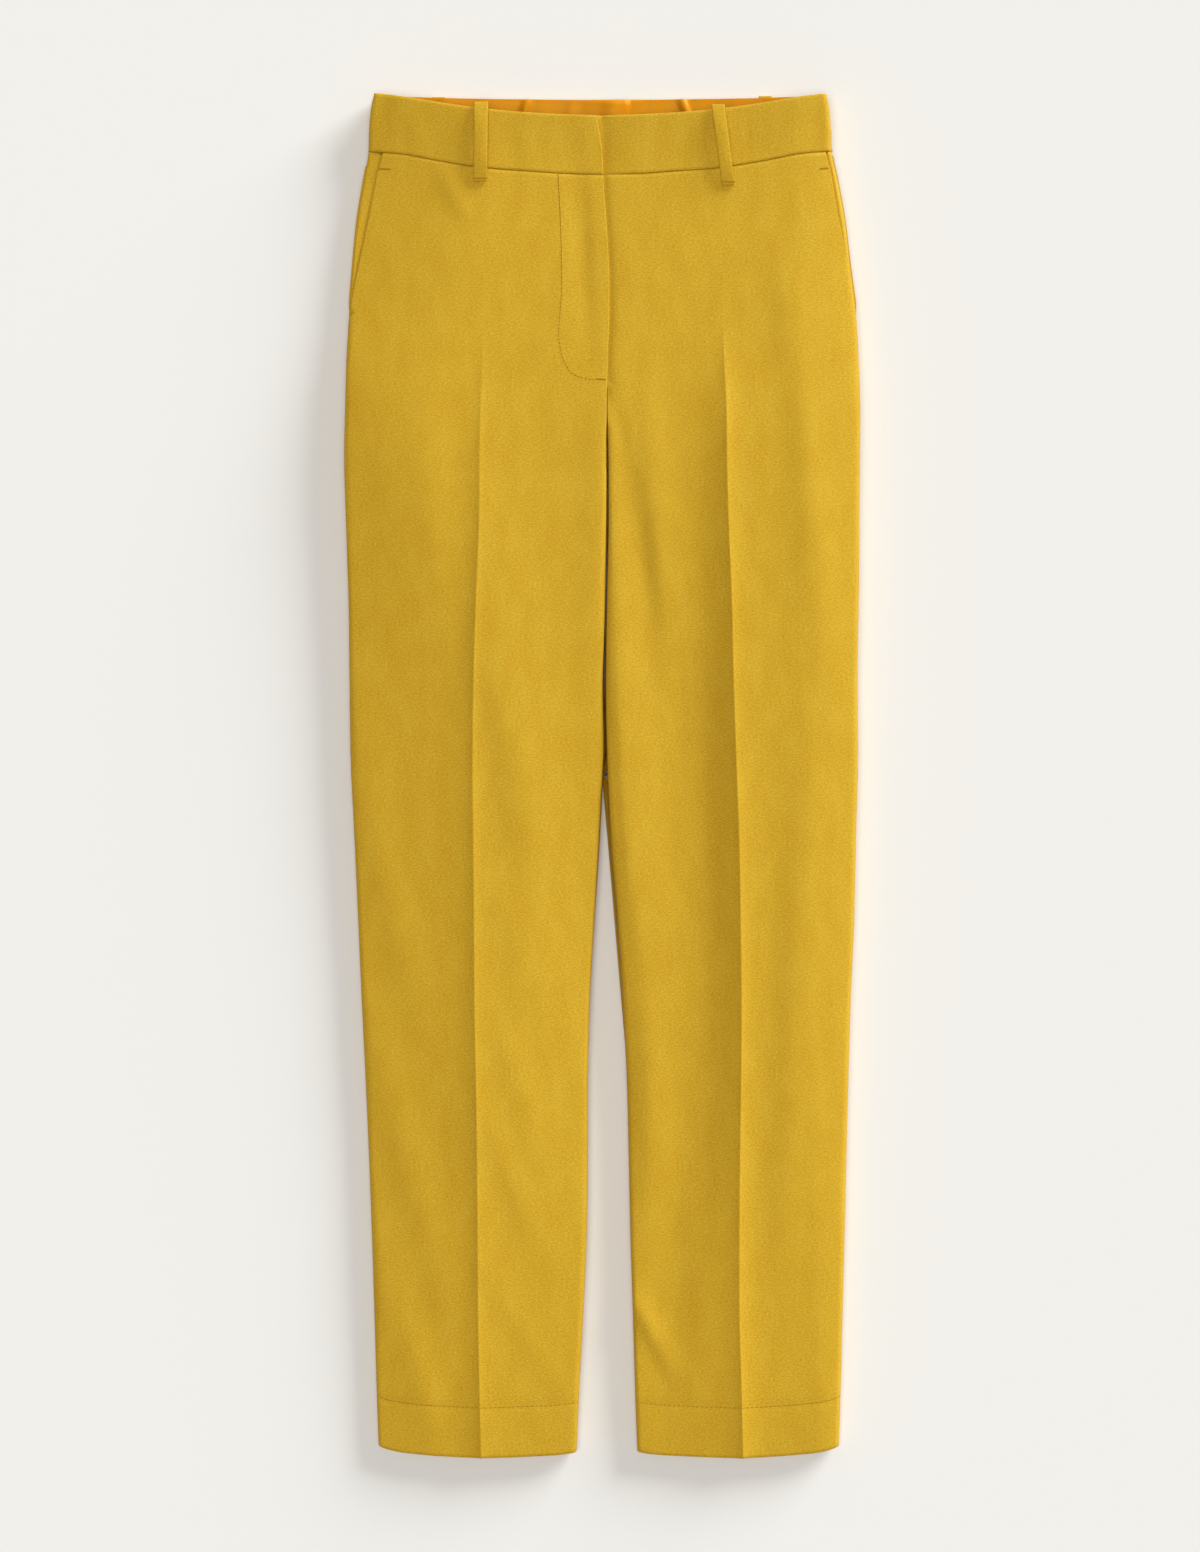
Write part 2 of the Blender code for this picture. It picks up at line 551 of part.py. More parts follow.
def make_loops():
    """Belt loops: the front ones stand off the band, and the band rests on the back ones."""
    shares = np.linspace(0.0, 1.0, LOOP_ROWS)
    for loop in LOOPS:
        up = loop.top_up + (loop.foot_up - loop.top_up) * shares[:, None]
        x = loop.top_x + (loop.foot_x - loop.top_x) * shares[:, None]
        x = x + np.array([-0.5, 0.0, 0.5]) * loop.width
        up = up + np.zeros_like(x)
        if loop.on == "front":
            leg = LEFT if loop.top_x > 0 else RIGHT
            carried = front_height(leg, x, np.minimum(up, LOOP_ON_BAND)).max(axis=1, keepdims=True)
            z = carried + read(STAND, "off", shares)[:, None] + LOOP_CLOTH + np.zeros_like(x)
            points = np.stack([x, up, z], axis=2)
            wall(loop.name, points, normals_of(points, 1), LOOP_CLOTH)
        else:
            points = np.stack([x, up, np.zeros_like(x)], axis=2)
            wall(loop.name, points, normals_of(points, -1), BACK_LIFT - SEAM_GAP)


def main():
    for old in list(bpy.data.objects):
        bpy.data.objects.remove(old)
    make_fronts()
    make_backs()
    make_waistband()
    make_loops()


main()
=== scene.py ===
# %% [markdown]
# # Tapered trousers, laid flat on their back
# High-rise trousers in mustard twill lie on pale paper and are seen from straight above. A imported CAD
# model already holds the true size and place of every piece of cloth. This lesson lays finer cloth over
# it, with the weave, turned edges, stitches and soft folds that a camera sees from a step away.
# The tables are in millimetres, as a cutter would write them, and Blender gets metres.

# %% Load the frame
from collections import namedtuple

import bpy
import numpy as np
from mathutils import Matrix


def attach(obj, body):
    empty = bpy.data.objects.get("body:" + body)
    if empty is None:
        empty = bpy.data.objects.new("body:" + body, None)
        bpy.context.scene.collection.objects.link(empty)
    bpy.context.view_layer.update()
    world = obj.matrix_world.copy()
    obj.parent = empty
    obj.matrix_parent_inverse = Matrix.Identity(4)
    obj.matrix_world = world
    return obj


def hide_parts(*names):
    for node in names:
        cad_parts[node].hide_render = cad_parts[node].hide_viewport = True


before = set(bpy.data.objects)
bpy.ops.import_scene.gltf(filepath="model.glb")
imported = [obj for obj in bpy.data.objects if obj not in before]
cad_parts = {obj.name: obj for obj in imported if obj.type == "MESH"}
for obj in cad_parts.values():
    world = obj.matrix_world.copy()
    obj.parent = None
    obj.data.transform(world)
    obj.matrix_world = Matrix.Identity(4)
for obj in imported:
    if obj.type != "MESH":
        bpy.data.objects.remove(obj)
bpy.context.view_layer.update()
MM = 0.001

# %% [markdown]
# ## The camera
# The photograph looks straight down on a flat lay. A long lens keeps the sides of the legs out of sight,
# as the real picture does. One pixel of the photograph is 0.74 mm on the cloth, so the height of the
# picture and the lens together give the height of the camera.

# %% Camera
PIXEL = 0.74  # mm of cloth for one pixel of the photograph
PICTURE = (1200, 1552)
HEM_PIXEL = (602, 1458)  # where the photograph has the middle of the hems' line
HALF_LENGTH = 505.0  # from there to the middle of the garment
SHARP_HEIGHT = 14.0  # the scale holds at this height over the table
CENTRE = ((PICTURE[0] / 2 - HEM_PIXEL[0]) * PIXEL, (HEM_PIXEL[1] - PICTURE[1] / 2) * PIXEL - HALF_LENGTH)
LENS, SENSOR = 120.0, 36.0

lens = bpy.data.cameras.new("overhead_camera")
lens.lens, lens.sensor_width = LENS, SENSOR
lens.clip_start, lens.clip_end = 0.1, 50.0
camera = bpy.data.objects.new("overhead_camera", lens)
distance = PICTURE[1] * PIXEL * LENS / SENSOR
camera.location = (CENTRE[0] * MM, CENTRE[1] * MM, (distance + SHARP_HEIGHT) * MM)
bpy.context.collection.objects.link(camera)
bpy.context.scene.camera = camera
bpy.context.scene.view_settings.view_transform = "Standard"
print("camera", round(camera.location.z, 3), "m over the table")

# %% [markdown]
# ## The paper and the light
# The trousers lie on plain pale paper. The light is large and soft and comes from the upper right, low over
# the table, so a long faint shadow falls to the left and below the hems, and each fold shows a light and a
# dark flank. One low sun lamp with a wide disc makes it, a high one lifts the shade, and a white room fills
# the rest. A sun lights the whole sheet of paper evenly, which a nearby lamp can't.

# %% Paper and light
PAPER_SIZE, PAPER_UP = 6.0, -0.0002  # metres
PAPER_COLOUR = (0.80, 0.779, 0.742, 1.0)


def new_material(name, numbers):
    """A material with plain values on its shader, its node tree and that shader."""
    made = bpy.data.materials.new(name)
    made.use_nodes = True
    shader = made.node_tree.nodes["Principled BSDF"]
    for label, value in numbers.items():
        shader.inputs[label].default_value = value
    return made, made.node_tree, shader


def linked(name, mesh):
    made = bpy.data.objects.new(name, mesh)
    bpy.context.collection.objects.link(made)
    return made


def table(columns, *rows):
    """Rows of values with named columns."""
    Row = namedtuple("Row", columns)
    return tuple(Row(*row) for row in rows)


half = PAPER_SIZE / 2
corners = [(-half, -half, PAPER_UP), (half, -half, PAPER_UP), (half, half, PAPER_UP), (-half, half, PAPER_UP)]
paper_mesh = bpy.data.meshes.new("paper")
paper_mesh.from_pydata(corners, [], [(0, 1, 2, 3)])
paper_mesh.materials.append(new_material("pale_paper", {"Base Color": PAPER_COLOUR, "Roughness": 0.9})[0])
paper = linked("paper", paper_mesh)

SUNS = table(
    "name strength disc tilt turn colour",  # angles in degrees
    ("low_window", 4.9, 34.0, 77.0, 45.0, (0.95, 1.0, 1.02)),
    ("high_window", 1.72, 34.0, 6.0, 225.0, (1.0, 0.99, 0.975)),
)
ROOM, ROOM_COLOUR = 0.23, (1.0, 0.98, 0.96, 1.0)
for window in SUNS:
    lamp = bpy.data.lights.new(window.name, "SUN")
    lamp.energy, lamp.angle, lamp.color = window.strength, np.radians(window.disc), window.colour
    aimed = bpy.data.objects.new(window.name, lamp)
    aimed.rotation_euler = (0, np.radians(window.tilt), np.radians(window.turn))
    bpy.context.collection.objects.link(aimed)
world = bpy.data.worlds.new("white_room")
world.use_nodes = True
world.node_tree.nodes["Background"].inputs["Color"].default_value = ROOM_COLOUR
world.node_tree.nodes["Background"].inputs["Strength"].default_value = ROOM
bpy.context.scene.world = world
print("suns:", [window.name for window in SUNS], "room", ROOM)

# %% [markdown]
# ## The cutter's tables
# Cloth has no thickness in a pattern, but it has an outline, a height and folds. The sizes and most of the
# outline are those that the solids were made from. The heights, the folds, the dip of the waist and the
# loops were fitted again to the picture's light and perspective. So they differ from the solids by some
# millimetres, and by more where the cloth rolls over an edge.

# %% Sizes and outline
LENGTH = 1010.0
CLOTH, HEM_CLOTH, BAND, SATIN, LOOP_CLOTH, ZIP_TAPE = 1.4, 2.6, 2.4, 0.8, 2.0, 1.0
HEM_DEPTH = 35.0
BAND_PROUD = 0.2
SEAM_GAP = 0.3
PRESSED_GAP = 0.1  # between the two fronts, whose seam is pressed shut
SIDE_ROLL_BACK = 11.0
HALF_WAIST = 172.0
FRONT_STEP_WIDTH, BAND_STEP_WIDTH = 2.4, 6.0  # how soon the left side is level again beside the lap
SEAM_LIP = 0.2
BACK_LIFT, LIFT_STARTS, LIFT_FULL = 2.0, 905.0, 948.0
FLY_UNDER = 3.0
RIGHT, LEFT = -1, 1
SIDES = {RIGHT: "right", LEFT: "left"}

OUTLINE = table(
    "up right_out right_crease right_in left_in left_crease left_out",
    (1010, -168.6, -86.0, -4.0, -4.0, 88.0, 166.4),
    (1000, -171.0, -86.0, -2.2, -2.2, 88.0, 168.4),
    (985, -172.6, -86.2, 0.2, 0.2, 88.0, 169.8),
    (966, -173.2, -86.4, 1.0, 1.0, 88.0, 170.4),
    (946, -176.9, -86.8, 1.0, 1.0, 88.3, 174.6),
    (918, -181.6, -87.2, 3.0, 3.0, 88.6, 179.8),
    (882, -185.0, -87.6, 5.1, 5.1, 89.0, 183.9),
    (850, -187.2, -88.0, 5.5, 5.5, 89.3, 188.1),
    (813, -189.5, -88.2, 4.4, 4.4, 90.0, 190.4),
    (779, -190.4, -89.4, 3.6, 3.8, 91.6, 191.6),
    (742, -191.2, -90.3, 3.9, 4.3, 92.0, 191.4),
    (694, -189.9, -90.6, 3.9, 4.4, 93.2, 190.9),
    (635, -188.0, -93.0, 2.8, 3.3, 95.6, 190.5),
    (576, -187.3, -94.8, 1.2, 2.4, 97.0, 189.6),
    (516, -186.4, -95.5, 1.5, 3.6, 99.0, 189.9),
    (457, -183.6, -95.0, -1.5, 6.2, 101.2, 188.4),
    (398, -180.9, -94.5, -5.3, 11.4, 102.2, 187.1),
    (339, -178.3, -94.2, -8.8, 15.2, 102.9, 184.6),
    (280, -175.4, -93.1, -10.2, 18.2, 102.6, 182.8),
    (221, -172.8, -92.3, -10.4, 19.7, 101.8, 181.3),
    (161, -170.6, -91.8, -11.2, 21.0, 101.4, 179.9),
    (102, -168.7, -91.5, -13.9, 22.9, 101.6, 178.4),
    (43, -167.0, -90.4, -17.0, 24.6, 103.3, 176.9),
    (0, -165.4, -89.4, -18.8, 26.2, 104.3, 175.4),
)

FORM = table(
    "up crown seam",
    (1010, 26.2, 8.0), (966, 23.4, 8.0), (882, 25.2, 7.0), (779, 28.0, 6.0),
    (635, 27.3, 6.0), (516, 25.5, 6.0), (398, 23.6, 6.0), (250, 21.2, 6.0),
    (100, 18.0, 6.0), (35, 16.0, 5.5), (0, 13.6, 5.5),
)

# %% How the top side falls to its edges
FALLS = table(
    "up right_out right_out_drop right_in right_in_drop left_in left_in_drop left_out left_out_drop",
    (1010, 60, 2.6, 20, 0.0, 12, 0.0, 24, 2.0),
    (966, 90, 7.4, 20, 0.0, 12, 0.0, 30, 3.5),
    (882, 92, 10.4, 20, 0.0, 12, 0.0, 42, 6.5),
    (779, 62, 7.0, 50, 0.5, 8, 0.3, 46, 7.5),
    (700, 66, 8.0, 36, 1.0, 8, 0.8, 46, 7.5),
    (635, 74, 9.0, 36, 1.8, 8, 1.0, 44, 7.0),
    (516, 84, 9.5, 52, 4.4, 10, 1.3, 40, 6.0),
    (398, 92, 9.5, 60, 7.2, 18, 3.5, 34, 5.0),
    (250, 82, 8.5, 60, 4.4, 18, 5.0, 28, 4.0),
    (100, 60, 6.0, 45, 0.9, 14, 1.2, 20, 3.0),
    (0, 40, 4.0, 30, 0.6, 12, 1.5, 16, 2.5),
)
FALL_BOW = 1.5
# mm in which the cloth rolls over at an edge: tight on the shaded sides, round on the lit ones
ROLLS = {(RIGHT, "out"): 1.0, (LEFT, "out"): 2.8, (RIGHT, "in"): 1.8, (LEFT, "in"): 1.0}
CROTCH_ROLL = 0.5
LEGS_TOUCH, LEGS_PART = 540.0, 450.0
FOLDS_FADE = 5.0

# %% Waist, hems and pockets
WAIST = table(
    "share seam front_top back_top",
    (0.00, 17.7, 17.1, 3.4), (0.18, 16.8, 16.2, 3.2), (0.32, 15.1, 14.9, 2.9),
    (0.50, 12.7, 12.2, 2.5), (0.69, 7.7, 7.8, 1.8), (0.85, 2.3, 3.2, 0.8),
    (1.00, 0.0, 0.0, 0.0),
)
WAIST_SEAM, WAIST_TOP, DIP_ENDS = 966.4, 1009.4, 835.0

HEM = table("share rise", (0.0, 0.0), (0.3, 0.8), (0.6, 2.4), (0.8, 4.0), (0.93, 6.2), (1.0, 8.2))
HEM_RISE_ENDS, INNER_HEM_SHARE = 90.0, 0.5

POCKET = table(
    "up right left",
    (966, 11.0, 5.0),
    (955, 9.8, 4.4),
    (938, 9.6, 4.9),
    (919, 9.0, 5.2),
    (896, 6.5, 3.2),
    (876, 3.8, 1.6),
    (856, 1.3, 0.9),
)
POCKET_FOOT, FLY_FOOT = 856.0, 797.0
HIP_SINK = 0.6
TUCKED = 30.0  # how far the hip pieces run on under the fronts
CROTCH_TOP, CROTCH = 768.0, 728.0

# %% [markdown]
# ## Creases and folds
# Pressing leaves one sharp ridge down each leg. Handling leaves soft folds: long shallow ridges and
# hollows that start at the crotch, the hips or the side seams and fade out. Each row of the table is one
# of them, with its two ends, a bow, a height and a width to each side. Most follow a fold of the solids,
# drawn longer and softer. The long hollow beside the left crease is deeper than theirs, because the
# picture's light asks for it.

# %% Creases and folds
CREASES = dict(zip((RIGHT, LEFT), table(
    "height minus_flank plus_flank full_at starts_at",
    (3.8, 11.0, 25.0, 600.0, 838.0),
    (4.7, 16.0, 11.0, 740.0, 850.0),
)))
FOLD = "up_a x_a up_b x_b bow height minus plus"
FOLDS = {
    RIGHT: table(
        FOLD,
        # outer half: long ridges that fall inwards
        (850, -182, 560, -116, 10, 1.3, 28, 18),
        (830, -136, 620, -110, 0, 1.3, 14, 16),
        (620, -184, 270, -114, -16, 1.6, 16, 16),
        (420, -197, 60, -100, 0, 1.6, 16, 16),
        (250, -186, 30, -142, 0, 1.4, 12, 15),
        (130, -146, -20, -120, 0, 1.5, 12, 12),
        # inner half
        (820, -92, 290, -38, 0, 2.1, 22, 26),
        (640, -90, 420, -50, 0, 1.1, 13, 16),
        (450, -80, 300, -40, 0, 0.8, 15, 16),
        (360, -86, 170, -38, 4, 1.1, 12, 14),
        (280, -97, 130, -34, 0, 1.1, 11, 13),
        (170, -100, 30, -24, 0, 0.7, 10, 13),
        (860, 0, 430, -12, 4, 1.8, 14, 8),
        # hips
        (962, -122, 912, -101, 0, 1.3, 8, 9),
        (985, -18, 800, -10, 0, -1.5, 10, 6)),
    LEFT: table(
        FOLD,
        # inner half: ridges from the crotch and the long hollow beside the crease
        (860, 3, 640, 6, 0, 0.7, 5, 10),
        (850, 3, 320, 28, -4, 2.3, 6, 24),
        (850, 2, 560, 56, 6, 2.4, 9, 20),
        (850, 14, 520, 36, 4, -2.4, 20, 9),
        (860, 68, 100, 74, 4, -7.4, 40, 19),
        (340, 66, -60, 36, 0, -4.1, 26, 22),
        (350, 34, 160, 46, 0, 1.1, 14, 14),
        (150, 0, 45, 58, 5, 2.3, 7, 11),
        # outer half
        (880, 136, 510, 170, 3, 1.7, 14, 12),
        (600, 152, 40, 131, 0, 2.3, 15, 16),
        (910, 131, 800, 140, 0, 1.1, 12, 14)),
}
FOLD_ENDS = 1.4  # how softly a fold starts and ends
PRESSED_HEIGHT, PRESSED_FLANK, IRONED_IN = 0.7, 3.0, 60.0  # the iron's own sharp line on each crease
print("folds:", {leg: len(folds) for leg, folds in FOLDS.items()})

# %% [markdown]
# ## Reading the tables
# A table gives a few rows, and cloth needs hundreds. `read` draws a smooth curve through a column.
# `front_height` and `back_height` turn the tables into a surface: a flat top that rolls down to each seam
# like a quarter of an ellipse, with the folds on it.


# %% Curves through the tables
def ease(t):
    """0 below 0, 1 above 1, and a smooth step between."""
    t = np.clip(t, 0.0, 1.0)
    return t * t * (3.0 - 2.0 * t)


def read(rows, column, at):
    """A column of a table between its rows, as a smooth curve through them."""
    rows = sorted(rows)
    keys = np.array([row[0] for row in rows], float)
    values = np.array([getattr(row, column) for row in rows], float)
    slopes = np.gradient(values, keys)
    at = np.clip(np.asarray(at, float), keys[0], keys[-1])
    low = np.clip(np.searchsorted(keys, at, side="right") - 1, 0, len(keys) - 2)
    span = keys[low + 1] - keys[low]
    t = (at - keys[low]) / span
    near = (1 + 2 * t) * (1 - t) ** 2 * values[low] + t * (1 - t) ** 2 * span * slopes[low]
    far = t * t * (3 - 2 * t) * values[low + 1] - t * t * (1 - t) * span * slopes[low + 1]
    return near + far


def line(leg, which, up):
    """x of a leg's "out", "crease" or "in" line."""
    return read(OUTLINE, f"{SIDES[leg]}_{which}", up)


def parted(up):
    """0 above the crotch, 1 where the legs are separate tubes."""
    return ease((CROTCH_TOP - up) / (CROTCH_TOP - CROTCH))


def quarter_round(edge, x, width):
    """0 at an edge's seam, rising like a quarter of an ellipse to 1 at the given width."""
    away = 1.0 - np.clip((np.abs(edge - x) - SEAM_LIP) / width, 0.0, 1.0)
    return np.sqrt(1.0 - away * away)


# %% Height of the fronts and the backs
def soft_folds(folds, x, up):
    """Height of some of the table's folds."""
    total = np.zeros(np.broadcast(x, up).shape)
    for fold in folds:
        t = np.clip((fold.up_a - up) / (fold.up_a - fold.up_b), 0.0, 1.0)
        away = x - (fold.x_a + (fold.x_b - fold.x_a) * t + fold.bow * 4 * t * (1 - t))
        width = np.where(away < 0, fold.minus, fold.plus)
        total = total + fold.height * np.sin(np.pi * t) ** FOLD_ENDS * np.exp(-((away / width) ** 2))
    return total


def fold_height(leg, x, up):
    """Height that the soft folds and the pressed crease add to the upper side."""
    crease = CREASES[leg]
    away = x - line(leg, "crease", up)
    flank = np.where(away < 0, crease.minus_flank, crease.plus_flank)
    shown = ease((crease.starts_at - up) / (crease.starts_at - crease.full_at))
    ridge = crease.height * shown * np.exp(-np.abs(away) / flank)
    ironed = ease((crease.starts_at - up) / IRONED_IN)
    pressed = PRESSED_HEIGHT * ironed * np.exp(-np.abs(away) / PRESSED_FLANK)
    return soft_folds(FOLDS[leg], x, up) + ridge + pressed


def fall(leg, which, x, up):
    """How far the top side has dropped near its "out" or "in" edge, before it rolls over."""
    width = read(FALLS, f"{SIDES[leg]}_{which}", up)
    away = np.clip(np.abs(line(leg, which, up) - x) / width, 0.0, 1.0)
    return read(FALLS, f"{SIDES[leg]}_{which}_drop", up) * (1.0 - away) ** FALL_BOW


def outer_roll(leg, x, up):
    """0 at the side seam, and 1 where the upper side has rolled over it."""
    return quarter_round(line(leg, "out", up), x, ROLLS[leg, "out"])


def front_height(leg, x, up):
    """z of the upper side of the fronts."""
    seam = read(FORM, "seam", up)
    top = read(FORM, "crown", up) - seam - fall(leg, "out", x, up) - fall(leg, "in", x, up) * parted(up)
    touching = ease((LEGS_TOUCH - up) / (LEGS_TOUCH - LEGS_PART))
    in_roll = CROTCH_ROLL + (ROLLS[leg, "in"] - CROTCH_ROLL) * touching
    inner = 1.0 - parted(up) * (1.0 - quarter_round(line(leg, "in", up), x, in_roll))
    near = ease(np.abs(line(leg, "out", up) - x) / FOLDS_FADE)
    raised = (top + fold_height(leg, x, up) * near) * outer_roll(leg, x, up) * inner
    return seam + SEAM_GAP / 2 + raised


def back_roll(leg, x, up):
    """0 at the side seam and the inside leg, and 1 where the back lies flat."""
    inner = quarter_round(line(leg, "in", up), x, SIDE_ROLL_BACK)
    return quarter_round(line(leg, "out", up), x, SIDE_ROLL_BACK) * (1.0 - parted(up) * (1.0 - inner))


def back_height(leg, x, up):
    """z of the under side of the backs: on the table, and turned up to the seams."""
    seam = read(FORM, "seam", up) - SEAM_GAP / 2
    lift = BACK_LIFT * ease((up - LIFT_STARTS) / (LIFT_FULL - LIFT_STARTS))
    return seam - (seam - lift) * back_roll(leg, x, up)


# %% Rows of cloth
def waist_dip(column, x):
    return read(WAIST, column, np.abs(x) / HALF_WAIST)


def row_up(base, leg, x):
    """Height of a row's points: the top rows follow the waist seam, the lowest follow the hem."""
    follow = ease((base - DIP_ENDS) / (WAIST_SEAM - DIP_ENDS))
    crease = line(leg, "crease", base)
    outer = np.abs(line(leg, "out", base) - crease)
    inner = np.abs(line(leg, "in", base) - crease)
    outward = (x - crease) * leg > 0
    share = np.abs(x - crease) / np.where(outward, outer, inner)
    rise = read(HEM, "rise", share) * np.where(outward, 1.0, INNER_HEM_SHARE)
    rise = rise * ease((HEM_RISE_ENDS - base) / (HEM_RISE_ENDS - HEM_DEPTH))
    return base - follow * waist_dip("seam", x) + rise


def back_row_up(base, leg, x):
    """The backs' rows, which reach up to the back band's seam."""
    follow = ease((base - DIP_ENDS) / (WAIST_SEAM - DIP_ENDS))
    return row_up(base, leg, x) + follow * (waist_dip("seam", x) - waist_dip("back_top", x))


def edge_of(leg, which, base):
    """x of an edge where a row meets it."""
    return line(leg, which, row_up(base, leg, line(leg, which, base)))


# %% [markdown]
# ## Cloth as a fine net
# Cloth that rolls over an edge needs its threads evenly spaced along the cloth, not along the table. So
# each row is first drawn very densely, its length is measured, and the columns are then set along that
# length, close together at the seams and creases. The same measured length becomes the cloth's own UV
# map, in metres, and the weave is later drawn in it, so the threads follow every fold.

# %% Columns along the cloth
DENSE = 260  # points of a row that is measured
SPACING, SPREAD = 2.7, 0.4  # the widest gap between columns, and how fast gaps widen from an edge


def shares_of(length, most, first, last):
    """Shares of a length at which columns go, close at its two ends."""
    places = [0.0]
    while places[-1] < length:
        at = places[-1]
        places.append(at + min(most, first + SPREAD * at, last + SPREAD * max(length - at, 0.0)))
    return np.array(places) / places[-1]


def lengths_along(points):
    """Length along each row of a grid of points, from its first column."""
    steps = np.linalg.norm(np.diff(points, axis=1), axis=2)
    return beside(np.zeros((len(points), 1)), np.cumsum(steps, axis=1))


def beside(*grids):
    """Grids of points or lengths, joined side by side."""
    return np.concatenate(grids, axis=1)


def laid(leg, bases, start, end, shares, height, up_of=row_up):
    """Rows of points from one edge line to another, spaced along the cloth, with the lengths there."""
    t = (1.0 - np.cos(np.pi * np.linspace(0.0, 1.0, DENSE))) / 2.0
    base = bases[:, None]
    dense_x = start[:, None] + (end - start)[:, None] * t
    dense_up = up_of(base, leg, dense_x)
    dense = np.stack([dense_x, dense_up, height(leg, dense_x, dense_up)], axis=2)
    along = lengths_along(dense)
    wanted = along[:, -1:] * shares
    x = np.stack([np.interp(wanted[i], along[i], dense_x[i]) for i in range(len(bases))])
    up = up_of(base, leg, x)
    return np.stack([x, up, height(leg, x, up)], axis=2), wanted


def joined(first, second):
    """Two laid stretches that share a column, and their lengths counted from that column."""
    (near, near_along), (far, far_along) = first, second
    return beside(near, far[:, 1:]), beside(near_along - near_along[:, -1:], far_along[:, 1:])


def normals_of(points, outward_z):
    """Unit normals of a grid of points, on the side where they point up (or down)."""
    normals = np.cross(np.gradient(points, axis=0), np.gradient(points, axis=1))
    normals /= np.linalg.norm(normals, axis=2, keepdims=True)
    if normals[..., 2].mean() * outward_z < 0:
        normals = -normals
    return normals


def levelled(normals, column, amount=1.0):
    """The normals, with those of an edge column turned level by an amount up to 1, as at a side seam."""
    normals[:, column, 2] *= 1.0 - amount
    normals[:, column] /= np.linalg.norm(normals[:, column], axis=1, keepdims=True)
    return normals


# %% [markdown]
# ## A wall of cloth
# Each piece is closed: an outer face, an inner face a cloth's thickness behind it, and a rim. A cut edge
# in a finished garment is always turned under, so it is round. Three extra rows and columns close to each
# edge bend both faces together there, and the rim between them shows as a soft turned edge.

# %% Wall of cloth
TURN_RADIUS = 0.3
TURN = (0.0, 0.12, 0.42, 1.0)  # extra columns at an edge, by share of that radius
ROUND_SHARE = 0.46  # of the thickness, by which each face bends in at the edge
cloth_sizes = {}


def with_turned_edges(fields, axis, radius, spacing):
    """Add columns (axis 1) or rows (axis 0) close to both edges of some grids, and say how far they bend."""
    count = fields[0].shape[axis]
    step = np.array(TURN) * radius / spacing
    at = np.concatenate([step, np.arange(1, count - 1), count - 1 - step[::-1]])
    low = np.clip(np.floor(at).astype(int), 0, count - 2)
    weight = at - low
    grown = []
    for field in fields:
        w = weight.reshape([-1 if k == axis else 1 for k in range(field.ndim)])
        grown.append(np.take(field, low, axis) * (1 - w) + np.take(field, low + 1, axis) * w)
    bend = 1.0 - np.sqrt(1.0 - (1.0 - np.array(TURN)) ** 2)
    bends = np.concatenate([bend, np.zeros(count - 2), bend[::-1]])
    return grown, bends


def wall(name, points, normals, thickness, along, material):
    """A closed piece of cloth with round edges and a UV map in metres along the cloth."""
    thick = np.broadcast_to(np.asarray(thickness, float), points.shape[:2])
    fields, bends = [points, normals, thick, along], []
    for axis, step in enumerate((points[1] - points[0], points[:, 1] - points[:, 0])):
        spacing = np.linalg.norm(step, axis=1).mean()
        fields, bend = with_turned_edges(fields, axis, min(TURN_RADIUS, spacing * 0.9), spacing)
        bends.append(bend)
    points, normals, thick, along = fields
    bend = np.maximum(bends[0][:, None], bends[1]) * thick * ROUND_SHARE
    outer = points - normals * bend[..., None]
    inner = points - normals * (thick - bend)[..., None]
    rows, columns = bend.shape
    vertices = np.concatenate([outer.reshape(-1, 3), inner.reshape(-1, 3)])
    vertices = (vertices - [0.0, LENGTH / 2, 0.0]) * MM
    index = np.arange(rows * columns).reshape(rows, columns)
    quads = np.stack([index[:-1, :-1], index[1:, :-1], index[1:, 1:], index[:-1, 1:]], axis=2).reshape(-1, 4)
    ring = np.concatenate([index[:, 0], index[-1, 1:], index[-2::-1, -1], index[0, -2:0:-1]])
    behind = rows * columns
    rim = np.stack([ring, np.roll(ring, -1), np.roll(ring, -1) + behind, ring + behind], axis=1)
    a, b, c = (vertices[quads[len(quads) // 2, k]] for k in (0, 1, 2))
    if np.dot(np.cross(b - a, c - a), normals.reshape(-1, 3)[quads[len(quads) // 2, 0]]) < 0:
        quads = quads[:, ::-1]
    else:
        rim = rim[:, ::-1]
    faces = np.concatenate([quads, quads[:, ::-1] + behind, rim])
    mesh = bpy.data.meshes.new(name)
    mesh.from_pydata(vertices.tolist(), [], faces.tolist())
    cloth_uv = np.stack([along, points[..., 1]], axis=2).reshape(-1, 2) * MM
    corner = np.empty(len(mesh.loops), np.int32)
    mesh.loops.foreach_get("vertex_index", corner)
    mesh.uv_layers.new(name="cloth").data.foreach_set("uv", cloth_uv[corner % behind].ravel())
    mesh.materials.append(material)
    mesh.shade_smooth()
    mesh.validate()
    made = linked(name, mesh)
    cell = np.cross(points[1:, :-1] - points[:-1, :-1], points[:-1, 1:] - points[:-1, :-1])
    area = float(np.linalg.norm(cell, axis=2).sum()) * MM * MM
    cloth_sizes[name] = (float(np.ptp(along)) * MM, float(np.ptp(points[..., 1])) * MM, area)
    print(name, len(faces) * 2, "triangles,", [round(v, 3) for v in cloth_sizes[name]])
    return made


# %% [markdown]
# ## Weave, as a shader group
# The cloth is a wool-like twill: each warp thread floats over two wefts, and every next thread starts one
# weft higher, which draws steep diagonal ribs about a millimetre apart. One group makes those ribs and the
# uneven yarn for every material that needs them. It reads the cloth's own UV map, so nothing slides.


